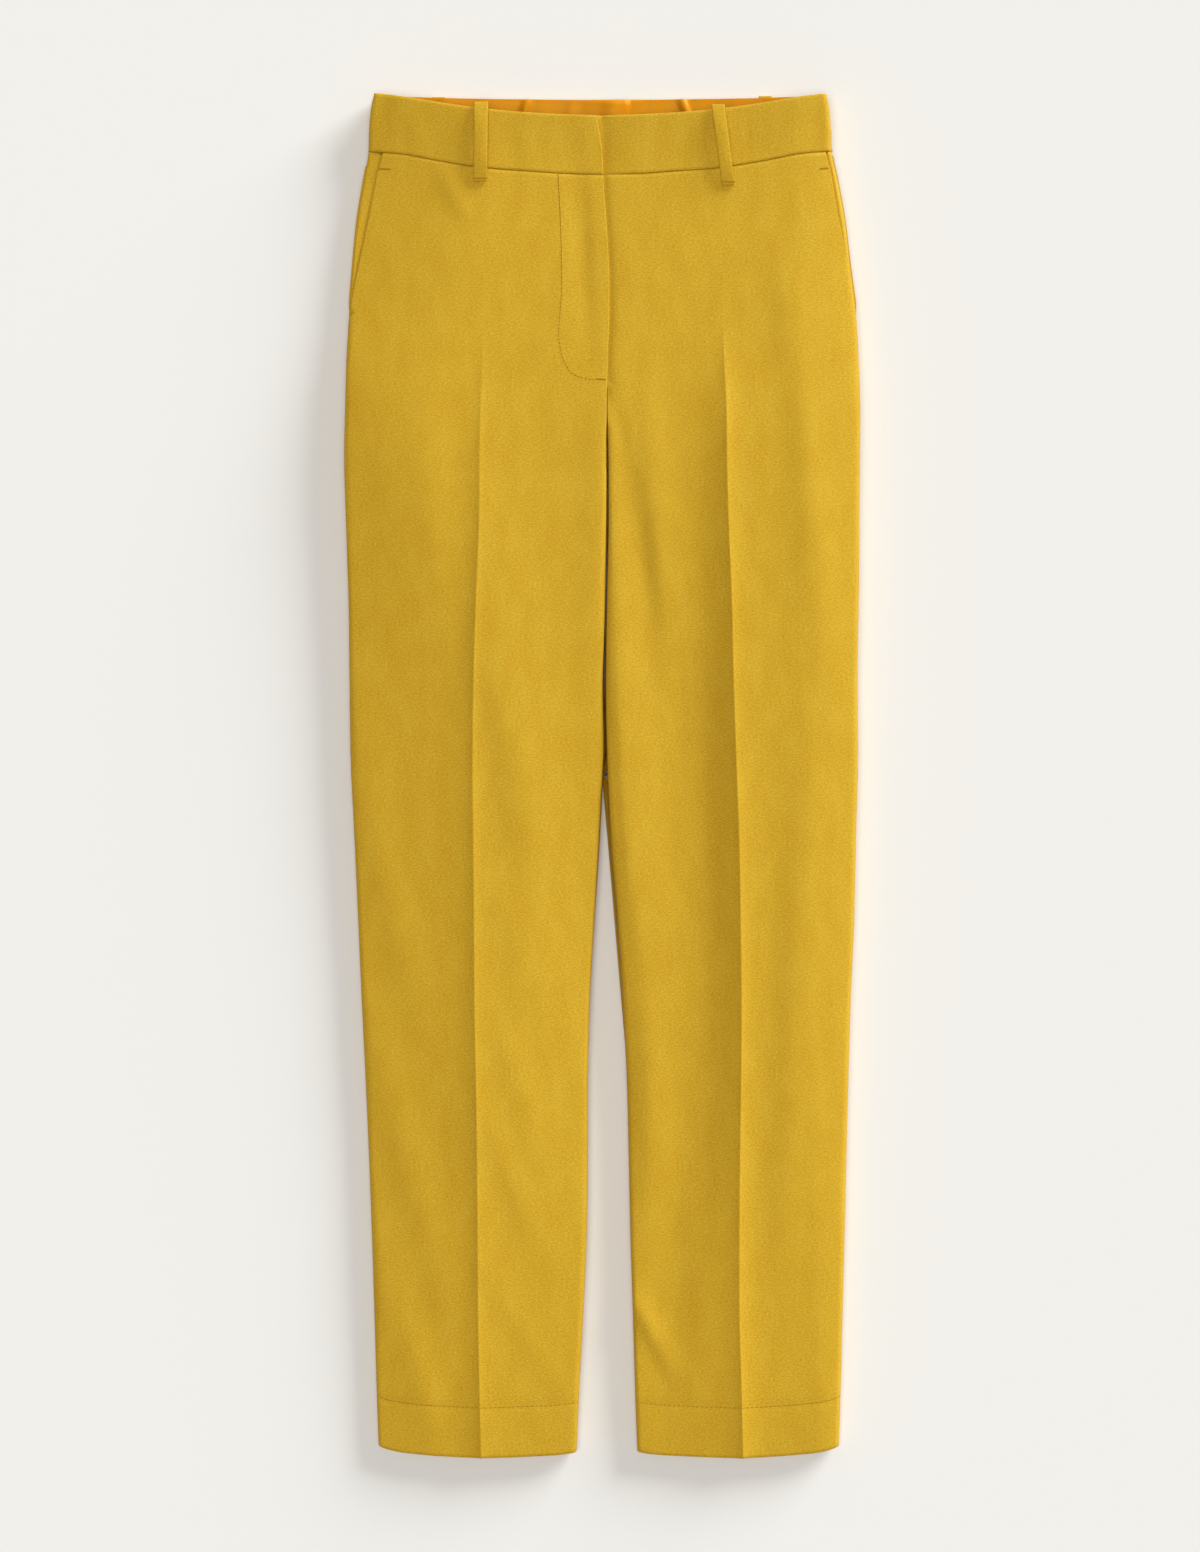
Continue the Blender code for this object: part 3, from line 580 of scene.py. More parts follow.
# %% Helpers for shader nodes
def add(tree, kind, **settings):
    node = tree.nodes.new(kind)
    for key, value in settings.items():
        setattr(node, key, value)
    return node


def calc(tree, operation, first, second=None, third=None):
    """One Math node. Its inputs are numbers or sockets."""
    node = add(tree, "ShaderNodeMath", operation=operation)
    for place, value in enumerate((first, second, third)):
        if value is None:
            continue
        if isinstance(value, (int, float)):
            node.inputs[place].default_value = value
        else:
            tree.links.new(value, node.inputs[place])
    return node.outputs[0]


def new_group(name, numbers):
    """A shader group with a vector input and named numbers."""
    tree = bpy.data.node_groups.new(name, "ShaderNodeTree")
    tree.interface.new_socket("Cloth", in_out="INPUT", socket_type="NodeSocketVector")
    for label, value in numbers.items():
        socket = tree.interface.new_socket(label, in_out="INPUT", socket_type="NodeSocketFloat")
        socket.default_value = value
    for label in ("Height", "Tone"):
        tree.interface.new_socket(label, in_out="OUTPUT", socket_type="NodeSocketFloat")
    return tree, add(tree, "NodeGroupInput"), add(tree, "NodeGroupOutput")


def noise(tree, vector, scale, detail=2.0, stretch=None):
    """A noise texture from 0 to 1, stretched along the warp where asked."""
    if stretch:
        mapping = add(tree, "ShaderNodeMapping")
        mapping.inputs["Scale"].default_value = stretch
        tree.links.new(vector, mapping.inputs["Vector"])
        vector = mapping.outputs["Vector"]
    node = add(tree, "ShaderNodeTexNoise")
    node.inputs["Scale"].default_value = scale
    node.inputs["Detail"].default_value = detail
    tree.links.new(vector, node.inputs["Vector"])
    return node.outputs["Fac"]


# %% Twill weave group
weave, came, goes = new_group("twill_weave", {"Rib Pitch": 0.00095, "Rib Rise": 0.0019,
                                              "Weft Pitch": 0.00055, "Slub": 0.5})
WANDER_SCALE, WANDER = 110.0, 1.2  # how the ribs stray from straight lines
RIB_HEIGHT, WEFT_HEIGHT = 0.38, 0.10
RIB_TONE, UNEVEN_TONE = 0.16, 4.2
MIDDLE = 0.5
split = add(weave, "ShaderNodeSeparateXYZ")
weave.links.new(came.outputs["Cloth"], split.inputs[0])
wander = noise(weave, came.outputs["Cloth"], WANDER_SCALE)
across = calc(weave, "DIVIDE", split.outputs["X"], came.outputs["Rib Pitch"])
rising = calc(weave, "DIVIDE", split.outputs["Y"], came.outputs["Rib Rise"])
turns = calc(weave, "SUBTRACT", across, rising)
turns = calc(weave, "ADD", turns, calc(weave, "MULTIPLY", wander, WANDER))
rib = calc(weave, "SINE", calc(weave, "MULTIPLY", turns, 2 * np.pi))
wefts = calc(weave, "DIVIDE", split.outputs["Y"], came.outputs["Weft Pitch"])
weft = calc(weave, "SINE", calc(weave, "MULTIPLY", wefts, 2 * np.pi))
height = calc(weave, "MULTIPLY_ADD", weft, WEFT_HEIGHT, MIDDLE)
height = calc(weave, "MULTIPLY_ADD", rib, RIB_HEIGHT, height)
SPOTS = table(
    "scale detail stretch share",
    (900.0, 1.0, (0.6, 1.0, 1.0), 0.55),  # single yarns
    (1100.0, 0.0, None, 0.25),  # flecks
    (70.0, 3.0, (1.0, 0.45, 1.0), 0.20),  # patches of dye
)
uneven = -MIDDLE
for spots in SPOTS:
    seen = noise(weave, came.outputs["Cloth"], spots.scale, spots.detail, spots.stretch)
    uneven = calc(weave, "MULTIPLY_ADD", seen, spots.share, uneven)
uneven = calc(weave, "MULTIPLY", uneven, came.outputs["Slub"])
tone = calc(weave, "MULTIPLY_ADD", rib, RIB_TONE, MIDDLE)
tone = calc(weave, "MULTIPLY_ADD", uneven, UNEVEN_TONE, tone)
weave.links.new(height, goes.inputs["Height"])
weave.links.new(tone, goes.inputs["Tone"])
print("weave group:", len(weave.nodes), "nodes")

# %% [markdown]
# ## The cloth's material
# Dyed wool-like cloth is matt, with a faint sheen where the light grazes it. The base colour runs between
# the colour down in the weave and that of the raised ribs. A tinted reflection gives the faint sheen, as
# plain numbers on the shader.


# %% Materials
def mapped(tree, fac, low, high):
    node = add(tree, "ShaderNodeMapRange")
    tree.links.new(fac, node.inputs["Value"])
    node.inputs["To Min"].default_value, node.inputs["To Max"].default_value = low, high
    return node.outputs["Result"]


def blended(tree, fac, low, high):
    node = add(tree, "ShaderNodeMix", data_type="RGBA")
    tree.links.new(fac, node.inputs[0])
    node.inputs[6].default_value, node.inputs[7].default_value = low, high
    return node.outputs[2]


def raise_surface(tree, shader, height, depth):
    """A bump from a height in the tree, with its depth in metres."""
    relief = add(tree, "ShaderNodeBump")
    relief.inputs["Distance"].default_value = depth
    tree.links.new(height, relief.inputs["Height"])
    tree.links.new(relief.outputs["Normal"], shader.inputs["Normal"])


def woven_material(name, deep, raised, rough, depth, numbers, yarns):
    """A material whose colour, roughness and bump come from the weave group on the cloth's UV map."""
    made, tree, shader = new_material(name, numbers)
    place = add(tree, "ShaderNodeUVMap", uv_map="cloth")
    weaving = add(tree, "ShaderNodeGroup", node_tree=weave)
    tree.links.new(place.outputs[0], weaving.inputs["Cloth"])
    for label, value in yarns.items():
        weaving.inputs[label].default_value = value
    tone = weaving.outputs["Tone"]
    tree.links.new(blended(tree, tone, deep, raised), shader.inputs["Base Color"])
    tree.links.new(mapped(tree, tone, *rough), shader.inputs["Roughness"])
    raise_surface(tree, shader, weaving.outputs["Height"], depth)
    return made


twill = woven_material(
    "mustard_twill", deep=(0.468, 0.221, 0.003, 1), raised=(0.652, 0.424, 0.037, 1), rough=(0.70, 0.52),
    depth=0.00012, numbers={"Specular IOR Level": 0.3, "Specular Tint": (0.7, 0.8, 0.2, 1)}, yarns={})
print("twill:", len(twill.node_tree.nodes), "nodes")

# %% [markdown]
# ## Satin lining
# The lining is a thin orange satin. Its threads are too fine to see, but it shines in soft bands where
# the light meets the small gathers. So it has a fine weave in its bump, and a lower roughness.

# %% Satin and zip tape
satin = woven_material(
    "orange_satin", deep=(0.49, 0.150, 0.001, 1), raised=(0.64, 0.255, 0.004, 1), rough=(0.44, 0.34),
    depth=0.00002,
    numbers={"Specular IOR Level": 0.5, "Specular Tint": (1.0, 0.78, 0.15, 1), "Anisotropic": 0.4},
    yarns={"Rib Pitch": 0.0004, "Rib Rise": 0.0016, "Weft Pitch": 0.0003, "Slub": 0.2})
tape = woven_material(
    "zip_tape_weave", deep=(0.40, 0.22, 0.02, 1), raised=(0.54, 0.33, 0.04, 1), rough=(0.85, 0.7),
    depth=0.0001, numbers={},
    yarns={"Rib Pitch": 0.0012, "Rib Rise": 0.0012, "Weft Pitch": 0.0006, "Slub": 0.3})
CLOTHS = {"twill": twill, "satin": satin, "zip_tape": tape}

# %% [markdown]
# ## The fronts
# Each front runs from the waist seam to the hem. Its outer edge is the side seam, or the slanted pocket
# opening near the waist, and its inner edge is the centre front, or the inside leg below the crotch. The
# wearer's right front laps over the left one at the fly, so the left front steps down and runs under it.

# %% Front rows
FRONT_TOP = 966.0
UNDER_BAND, BAND_SINK, SINK_WITHIN = 3.5, 1.4, 0.5  # the fronts' tops are sewn in under the band
FRONT_ROWS, BACK_ROWS = 359, 243
front_bases = np.concatenate([[FRONT_TOP + UNDER_BAND, FRONT_TOP + SINK_WITHIN, FRONT_TOP + SINK_WITHIN / 2],
                              np.linspace(FRONT_TOP, 0.0, FRONT_ROWS)])
OUTER_HALF, INNER_HALF = 108.0, 96.0  # usual widths of a front to each side of its crease
SIDE_SHARES = shares_of(OUTER_HALF, SPACING, first=1.1, last=0.7)
INNER_SHARES = shares_of(INNER_HALF, SPACING, first=0.7, last=1.1)
LAPPED = 4  # columns of the left front that lie under the lap
LONG_SHARES = np.interp(np.linspace(0, 1, len(INNER_SHARES) + LAPPED),
                        np.linspace(0, 1, len(INNER_SHARES)), INNER_SHARES)
UNDER = CLOTH + SEAM_GAP
POCKET_FADE = 14.0
HEM_STITCH, HEM_GROOVE, HEM_GROOVE_WIDTH = 37.7, 0.35, 2.0
SEAM_TUCK, SEAM_TUCK_WIDTH = 0.08, 4.0  # the front's top dips into the waist seam
LAP_CLEAR = 1.15  # where the left front's step ends and its part under the lap begins
FLY_FADE, HEM_FADE = 7.0, 3.0
NEARBY = 0.5  # how far to each side a slope is measured
in_fly = ease((front_bases - FLY_FOOT + FLY_FADE) / FLY_FADE)


def beside_pocket(base):
    """1 beside the pocket's mouth, closing to 0 below its foot."""
    return ease((base - POCKET_FOOT + POCKET_FADE) / POCKET_FADE)


def seam_sink(x, up):
    """How far cloth above the waist seam has gone down under the band."""
    return BAND_SINK * ease((up + waist_dip("seam", x) - FRONT_TOP) / SINK_WITHIN)


def hem_groove(leg, x, up):
    """How far the hem's stitches pull the cloth in."""
    return HEM_GROOVE * np.exp(-(((up - row_up(HEM_STITCH, leg, x)) / HEM_GROOVE_WIDTH) ** 2))


def dressed_height(leg, x, up):
    """The fronts' height, with the small dips that sewing pulls in."""
    below_seam = WAIST_SEAM - waist_dip("seam", x) - up
    tuck = SEAM_TUCK * np.exp(-np.maximum(below_seam, 0.0) / SEAM_TUCK_WIDTH) * (up > DIP_ENDS)
    return front_height(leg, x, up) - hem_groove(leg, x, up) - tuck - seam_sink(x, up)


def hem_thickness(bases):
    return CLOTH + (HEM_CLOTH - CLOTH) * ease((HEM_DEPTH + HEM_FADE - bases) / HEM_FADE)[:, None]


def front_points(leg):
    """Points of a front's upper side from the side to the centre, with lengths from the crease."""
    strip = read(POCKET, SIDES[leg], front_bases) * beside_pocket(front_bases)
    side = edge_of(leg, "out", front_bases) - leg * strip
    crease = line(leg, "crease", front_bases)
    gap = PRESSED_GAP / 2 * (1.0 if leg == LEFT else 1.0 - in_fly)
    end = edge_of(leg, "in", front_bases) + leg * gap
    outer = laid(leg, front_bases, side, crease, SIDE_SHARES, dressed_height)
    inner = laid(leg, front_bases, crease, end, LONG_SHARES if leg == LEFT else INNER_SHARES, dressed_height)
    return joined(outer, inner)


def lap_points(distances):
    """Points of the right front at distances from the lap's edge, in the rows of the fly."""
    bases = front_bases[:, None]
    x = edge_of(RIGHT, "in", bases) + RIGHT * np.array(distances)
    up = row_up(bases, RIGHT, x)
    slopes = [dressed_height(RIGHT, x + dx, up + dy) - dressed_height(RIGHT, x - dx, up - dy)
              for dx, dy in ((NEARBY, 0.0), (0.0, NEARBY))]
    normals = np.stack([-slopes[0], -slopes[1], np.full_like(x, 2 * NEARBY)], axis=2)
    normals /= np.linalg.norm(normals, axis=2, keepdims=True)
    return np.stack([x, up, dressed_height(RIGHT, x, up)], axis=2), normals


# %% Left front under the lap
STEP_STARTS, STEP_FADE = 772.0, 16.0
STEP_LEVEL = 1.0  # width beside the lap over which the step stays full


def stepped_down(points, amount, width, bases):
    """The left side's points, stepped down beside the lap."""
    away = np.abs(points[..., 0] - line(LEFT, "in", points[..., 1]))
    beyond = np.maximum(away - STEP_LEVEL, 0.0)
    points[..., 2] -= amount * np.exp(-beyond / width) * ease((bases - STEP_STARTS) / STEP_FADE)
    return points


def under_the_lap(points, along):
    """The left front's points where it steps down beside the lap and runs on under it."""
    bases = front_bases[:, None]
    end = edge_of(LEFT, "in", front_bases) + LAP_CLEAR
    near, near_along = laid(LEFT, front_bases, line(LEFT, "crease", front_bases), end,
                            INNER_SHARES, dressed_height)
    points, near = (stepped_down(grid, UNDER, FRONT_STEP_WIDTH, bases) for grid in (points, near))
    reach = np.linspace(0.0, FLY_UNDER, LAPPED)
    tail, tail_normals = lap_points(reach)
    lapped = beside(near, tail - tail_normals * UNDER)
    lapped_along = beside(near_along, near_along[:, -1:] + LAP_CLEAR + reach)
    first = len(SIDE_SHARES) - 1
    points[:, first:] += (lapped - points[:, first:]) * in_fly[:, None, None]
    along[:, first:] += (lapped_along - along[:, first:]) * in_fly[:, None]
    return points, along


def sewn(name, node, points, normals, thickness, along, slot="twill"):
    """Make a wall of cloth that rides with the garment and stands for its solid."""
    made = wall(name, points, normals, thickness, along, CLOTHS[slot])
    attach(made, "root")
    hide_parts(node)


hem_thick = hem_thickness(front_bases)
fronts = {}
for leg, name in SIDES.items():
    points, along = front_points(leg)
    if leg == LEFT:
        points, along = under_the_lap(points, along)
    normals = levelled(normals_of(points, 1), 0, 1.0 - beside_pocket(front_bases))
    normals = levelled(normals, -1, parted(front_bases))
    fronts[leg] = points, normals, along
    sewn(f"{name}_front", f"front_{name}", points, normals, hem_thick, along * leg)

# %% [markdown]
# ## Hip pieces, zip and underlap
# The hip piece is the cloth that shows outside the slanted pocket. It starts at the side seam and runs on
# under the front's edge, and below the opening's foot it slips behind the front altogether. Behind the lap
# lie the tape of a hidden zip and the underlap that backs it. All are made from the fronts' own points,
# moved down by a cloth and a little air.

# %% Hip pieces
HIP_SHARES = np.array([0.0, 0.02, 0.08, 0.18, 0.33, 0.55, 0.8])  # columns outside the pocket's mouth
HIP_FOOT = 843.0
pocket_rows = front_bases >= HIP_FOOT
for leg, name in SIDES.items():
    points, normals, along = (grid[pocket_rows] for grid in fronts[leg])
    bases = front_bases[pocket_rows][:, None]
    side = edge_of(leg, "out", bases)
    x = side + (points[:, :1, 0] - side) * HIP_SHARES
    up = row_up(bases, leg, x)
    z = front_height(leg, x, up) - UNDER * ease(HIP_SHARES) * HIP_SINK - seam_sink(x, up)
    behind = -leg * UNDER * (1.0 - beside_pocket(bases))
    tucked = (points - normals * UNDER)[:, np.abs(along[0] - along[0, 0]) < TUCKED]
    hip = beside(np.stack([x + behind, up, z], axis=2), tucked)
    hip_normals = levelled(normals_of(hip, 1), 0)
    sewn(f"{name}_hip_piece", f"pocket_side_{name}", hip, hip_normals, CLOTH, lengths_along(hip) * -leg)

# %% Zip tape and underlap
fly_rows = (front_bases >= FLY_FOOT) & (front_bases <= FRONT_TOP)
ZIP_PLACES = np.linspace(3.5, 23.0, 9)  # distances from the lap's edge
UNDERLAP_PLACES = np.linspace(3.5, 33.0, 13)
for name, node, slot, places, below, thickness in (
        ("fly_tape", "fly_zip", "zip_tape", ZIP_PLACES, UNDER, ZIP_TAPE),
        ("fly_underlap_cloth", "fly_underlap", "twill", UNDERLAP_PLACES, UNDER + ZIP_TAPE + SEAM_GAP, CLOTH)):
    points, normals = (grid[fly_rows] for grid in lap_points(places))
    points[0, :, 1] -= SEAM_GAP / 2
    sewn(name, node, points - normals * below, normals, thickness, places + np.zeros(points.shape[:2]), slot)

# %% [markdown]
# ## The backs
# The garment lies on its backs. They are flat where they rest, and turn up to the side seams and the
# inside leg. A few shallow hollows on the under side carry on what handling did to the fronts.

# %% Back hollows
BACK_FOLDS = {
    RIGHT: table(
        FOLD,
        (700, -160, 470, -120, 6, 0.9, 14, 16),
        (520, -60, 300, -90, -4, 0.8, 12, 14),
        (300, -150, 120, -110, 0, 0.7, 12, 12)),
    LEFT: table(
        FOLD,
        (730, 40, 520, 70, 5, 0.9, 12, 15),
        (560, 150, 330, 130, 0, 0.8, 14, 14),
        (280, 70, 110, 100, 4, 0.7, 12, 12)),
}
BACK_CREASE, BACK_CREASE_FLANK = 0.7, 4.0
BACK_CREASE_STARTS, BACK_CREASE_FADE = 830.0, 50.0


def dressed_back(leg, x, up):
    """The backs' under side, with shallow hollows and the line of the pressed crease."""
    pressed = ease((BACK_CREASE_STARTS - up) / BACK_CREASE_FADE)
    away = np.abs(x - line(leg, "crease", up))
    total = soft_folds(BACK_FOLDS[leg], x, up) + hem_groove(leg, x, up)
    total = total + BACK_CREASE * pressed * np.exp(-away / BACK_CREASE_FLANK)
    return back_height(leg, x, up) + total * back_roll(leg, x, up) ** 2


# %% Sew the backs
back_bases = np.linspace(FRONT_TOP, 0.0, BACK_ROWS)
BACK_WIDTH, BACK_SPACING = 200.0, 4.0
BACK_SHARES = shares_of(BACK_WIDTH, BACK_SPACING, first=1.2, last=1.2)
for leg, name in SIDES.items():
    side, centre = edge_of(leg, "out", back_bases), edge_of(leg, "in", back_bases) + leg * SEAM_GAP / 2
    points, along = laid(leg, back_bases, side, centre, BACK_SHARES, dressed_back, back_row_up)
    points[0, :, 1] -= SEAM_GAP / 2
    normals = levelled(levelled(normals_of(points, -1), 0), -1, parted(back_bases))
    sewn(f"{name}_back", f"back_{name}", points, normals, hem_thickness(back_bases), along * -leg)

# %% [markdown]
# ## The waistband
# The band is two layers of twill with a stiffener between, so it is thicker and holds its shape. The top
# edge dips at the centre front, which lets the lining of the back show. The right half laps over the
# left, as the fly does, so the left half's end is made from the right half's points, moved down.

# %% Band dents
BAND_DENTS = table(
    "x across share height",
    (-160, 5, 0.75, -0.5), (-139, 6, 0.5, 0.35), (-118, 7, 0.4, -0.3), (-56, 8, 0.5, 0.3),
    (-30, 9, 0.3, -0.35), (-12, 6, 0.7, 0.4), (30, 10, 0.5, 0.3), (60, 8, 0.4, -0.3),
    (107, 3, 0.6, -0.35), (135, 12, 0.5, 0.35), (158, 6, 0.4, -0.4),
)
BAND_ROWS, BAND_SPACING = 20, 2.2
BAND_DEPTH, HALF_BAND, DENT_UP = 42.0, 180.0, 0.45


def dented_band(leg, x, up):
    """The front band's height: a little proud, with the small dents of a worn-in stiffener."""
    low = WAIST_SEAM - waist_dip("seam", x)
    share = np.clip((up - low) / BAND_DEPTH, 0.0, 1.0)
    dents = sum(d.height * np.exp(-((x - d.x) / d.across) ** 2 - ((share - d.share) / DENT_UP) ** 2)
                for d in BAND_DENTS)
    roll = outer_roll(leg, x, up)
    return front_height(leg, x, up) + BAND_PROUD * roll + dents * roll ** 2


def band_points(leg, end_gap, top_column, height):
    """Half a waistband, from its seam up and from the side seam to the centre."""
    shares = np.linspace(0.0, 1.0, BAND_ROWS)
    seam_column = "seam" if top_column == "front_top" else top_column
    level_up = WAIST_SEAM + (WAIST_TOP - WAIST_SEAM) * shares

    def up_of(base, leg, x):
        share = (base - WAIST_SEAM) / (WAIST_TOP - WAIST_SEAM)
        low = WAIST_SEAM + SEAM_GAP / 2 - waist_dip(seam_column, x)
        return low + (WAIST_TOP - waist_dip(top_column, x) - low) * share

    end = line(leg, "in", level_up) + leg * end_gap
    columns = shares_of(HALF_BAND, BAND_SPACING, first=1.0, last=1.0)
    return laid(leg, level_up, line(leg, "out", level_up), end, columns, height, up_of)


# %% Sew the front band
BAND_LAP, LEFT_BAND_GAP = 35.0, 1.2
points, along = band_points(RIGHT, 0.0, "front_top", dented_band)
right_normals = levelled(normals_of(points, 1), 0)
sewn("right_front_band", "waistband_front_right", points, right_normals, BAND, -along)

lap = (along[0, -1] - along[0]) < BAND_LAP
tucked = (points - right_normals * (BAND + SEAM_GAP))[:, lap][:, ::-1]
tucked_normals = right_normals[:, lap][:, ::-1]
tucked_along = (along[:, -1:] - along)[:, lap][:, ::-1]

points, along = band_points(LEFT, LEFT_BAND_GAP, "front_top", dented_band)
points = stepped_down(points, BAND + SEAM_GAP, BAND_STEP_WIDTH, WAIST_TOP)
left_normals = beside(levelled(normals_of(points, 1), 0), tucked_normals)
along = beside(along, along[:, -1:] + LEFT_BAND_GAP + tucked_along)
sewn("left_front_band", "waistband_front_left", beside(points, tucked), left_normals, BAND, along)

# %% [markdown]
# ## The back band and its lining
# Straight from above, the back band hides under its own satin lining, which shows as an orange strip. Its
# gathers are soft ridges that stand up from the band, closest together by the centre back seam, with one
# slanted pleat to each side.

# %% Sew the back band
LINING_STARTS = 10.0  # from the side seam
linings = []
for leg, name in SIDES.items():
    points, along = band_points(leg, SEAM_GAP / 2, "back_top", back_height)
    normals = levelled(normals_of(points, -1), 0)
    sewn(f"{name}_back_band", f"waistband_back_{name}", points, normals, BAND, along * -leg)
    free = along[0] > LINING_STARTS
    linings.append((points[:, free], normals[:, free], along[:, free] - along[:, -1:]))

# %% Gathers of the lining
GATHERS = table(
    "x lean across height low high",  # low and high are shares of the band
    (-150, 0, 5, 0.8, 0, 1), (-118, 3, 6, 0.9, 0, 1), (-88, -2, 5, 0.7, 0, 1),
    (-61, 6, 2.4, 2.4, 0.3, 1), (-44, 0, 5, 0.6, 0, 1), (-24, 2, 4, 0.8, 0, 1),
    (-8, 0, 8, 1.2, 0, 1), (9, 0, 11, 4.6, 0, 1), (17, 1, 2.4, 1.2, 0, 1),
    (22.5, 3, 1.6, 1.5, 0.2, 1), (27.5, 2, 1.7, 1.3, 0, 1), (39, -2, 5, 0.7, 0, 1),
    (67, -8, 2.8, 3.2, 0.35, 1), (74, 0, 6, 0.7, 0, 1), (98, 2, 5, 0.8, 0, 1),
    (128, -2, 6, 0.9, 0, 1), (152, 0, 4, 0.6, 0, 1),
)
GATHER_FADE = 0.1  # of the band's height, by which a gather fades in and out


def gathered(x, share):
    """How far the lining stands off the band."""
    total = np.zeros_like(x)
    for g in GATHERS:
        away = x - g.x - g.lean * (share - 0.5) * 2
        shown = ease((share - g.low + GATHER_FADE) / (2 * GATHER_FADE))
        shown = shown * ease((g.high + GATHER_FADE - share) / (2 * GATHER_FADE))
        total = total + g.height * shown * np.exp(-((away / g.across) ** 2))
    return total


# %% Sew the lining
(right_points, right_back, right_along), (left_points, left_back, left_along) = linings
points = beside(right_points, left_points[:, ::-1])
normals = beside(right_back, left_back[:, ::-1])
along = beside(right_along, -left_along[:, ::-1] + SEAM_GAP)
share = np.linspace(0.0, 1.0, BAND_ROWS)[:, None] + np.zeros(points.shape[:2])
lift = BAND + SEAM_GAP + gathered(points[..., 0], share)
sewn("satin_band_lining", "waistband_lining_back", points - normals * lift[..., None], normals, SATIN,
     along, "satin")

# %% [markdown]
# ## Belt loops
# A belt loop is a narrow strip, folded in three and sewn down at both ends. The front ones stand a few
# millimetres off the band, and so throw a dark shadow to their left. The back ones lie under the band.

# %% Sew the loops
LOOPS = table(
    "leg on top_up top_x foot_up foot_x width",
    (RIGHT, "front", 1002.0, -89.2, 943.2, -89.9, 10.4),
    (LEFT, "front", 1000.0, 85.4, 940.4, 93.2, 9.8),
    (RIGHT, "back", 1008.8, -121.6, 952.0, -121.0, 9.4),
    (LEFT, "back", 1009.6, 121.3, 952.5, 120.5, 9.4),
)
STAND = table("share off", (0, 1.3), (0.08, 2.2), (0.2, 3.2), (0.5, 3.8), (0.8, 3.1), (1, 0.5))
LOOP_ON_BAND, LOOP_CROWN = 999.0, 0.5
LOOP_ROWS, LOOP_COLUMNS = 46, 9
shares = np.linspace(0.0, 1.0, LOOP_ROWS)[:, None]
half_shares = np.linspace(-1.0, 1.0, LOOP_COLUMNS)
loop_tops = {}
for loop in LOOPS:
    x = loop.top_x + (loop.foot_x - loop.top_x) * shares + half_shares * loop.width / 2
    up = loop.top_up + (loop.foot_up - loop.top_up) * shares + np.zeros_like(x)
    if loop.on == "front":
        carried = front_height(loop.leg, x, np.minimum(up, LOOP_ON_BAND)).max(axis=1, keepdims=True)
        crown = LOOP_CROWN * (1.0 - half_shares ** 2) * np.sin(np.pi * shares)
        z = carried + read(STAND, "off", shares) + LOOP_CLOTH + crown
        facing, thickness = 1, LOOP_CLOTH
    else:
        z = np.zeros_like(x)
        facing, thickness = -1, BACK_LIFT - SEAM_GAP
    points, side, on = np.stack([x, up, z], axis=2), SIDES[loop.leg], loop.on
    sewn(f"{side}_{on}_loop", f"belt_loop_{on}_{side}", points, normals_of(points, facing), thickness,
         half_shares * loop.width / 2 + np.zeros_like(x))
    loop_tops[f"{side}_{on}_loop"] = points

# %% [markdown]
# ## Stitches
# Topstitching repeats one small shape along a path, so Geometry Nodes lay it: the path becomes points a
# stitch apart, each point gets a small thread turned along the path, and the instances are made real.
# The same tree, with its threads turned across the path and packed close, makes the bar tacks.

# %% Stitch tree
STITCH_INPUTS = {
    "Geometry": "Geometry", "Pitch": "Float", "Thread Length": "Float", "Thread Width": "Float",
    "Turn": "Float", "Uneven": "Float", "Seed": "Int", "Thread": "Material",
}
stitch_tree = bpy.data.node_groups.new("stitches_along_path", "GeometryNodeTree")
for label, kind in STITCH_INPUTS.items():
    stitch_tree.interface.new_socket(label, in_out="INPUT", socket_type=f"NodeSocket{kind}")
stitch_tree.interface.new_socket("Geometry", in_out="OUTPUT", socket_type="NodeSocketGeometry")
came, goes = add(stitch_tree, "NodeGroupInput"), add(stitch_tree, "NodeGroupOutput")
curve = add(stitch_tree, "GeometryNodeMeshToCurve")
places = add(stitch_tree, "GeometryNodeCurveToPoints", mode="LENGTH")
ball = add(stitch_tree, "GeometryNodeMeshUVSphere")
for label, value in (("Segments", 8), ("Rings", 6), ("Radius", 0.5)):
    ball.inputs[label].default_value = value
size, angle = (add(stitch_tree, "ShaderNodeCombineXYZ") for _ in range(2))
shaped = add(stitch_tree, "GeometryNodeTransform")
aim = add(stitch_tree, "FunctionNodeAlignRotationToVector", axis="X")
wobble = add(stitch_tree, "FunctionNodeRandomValue", data_type="FLOAT")
turned = add(stitch_tree, "FunctionNodeEulerToRotation")
both = add(stitch_tree, "FunctionNodeRotateRotation", rotation_space="LOCAL")
put = add(stitch_tree, "GeometryNodeInstanceOnPoints")
real = add(stitch_tree, "GeometryNodeRealizeInstances")
finish = add(stitch_tree, "GeometryNodeSetMaterial")
back_swing = calc(stitch_tree, "MULTIPLY", came.outputs["Uneven"], -1.0)
swung = calc(stitch_tree, "ADD", wobble.outputs[1], came.outputs["Turn"])
stitch_tree.links.new(back_swing, wobble.inputs[2])
stitch_tree.links.new(swung, angle.inputs[2])
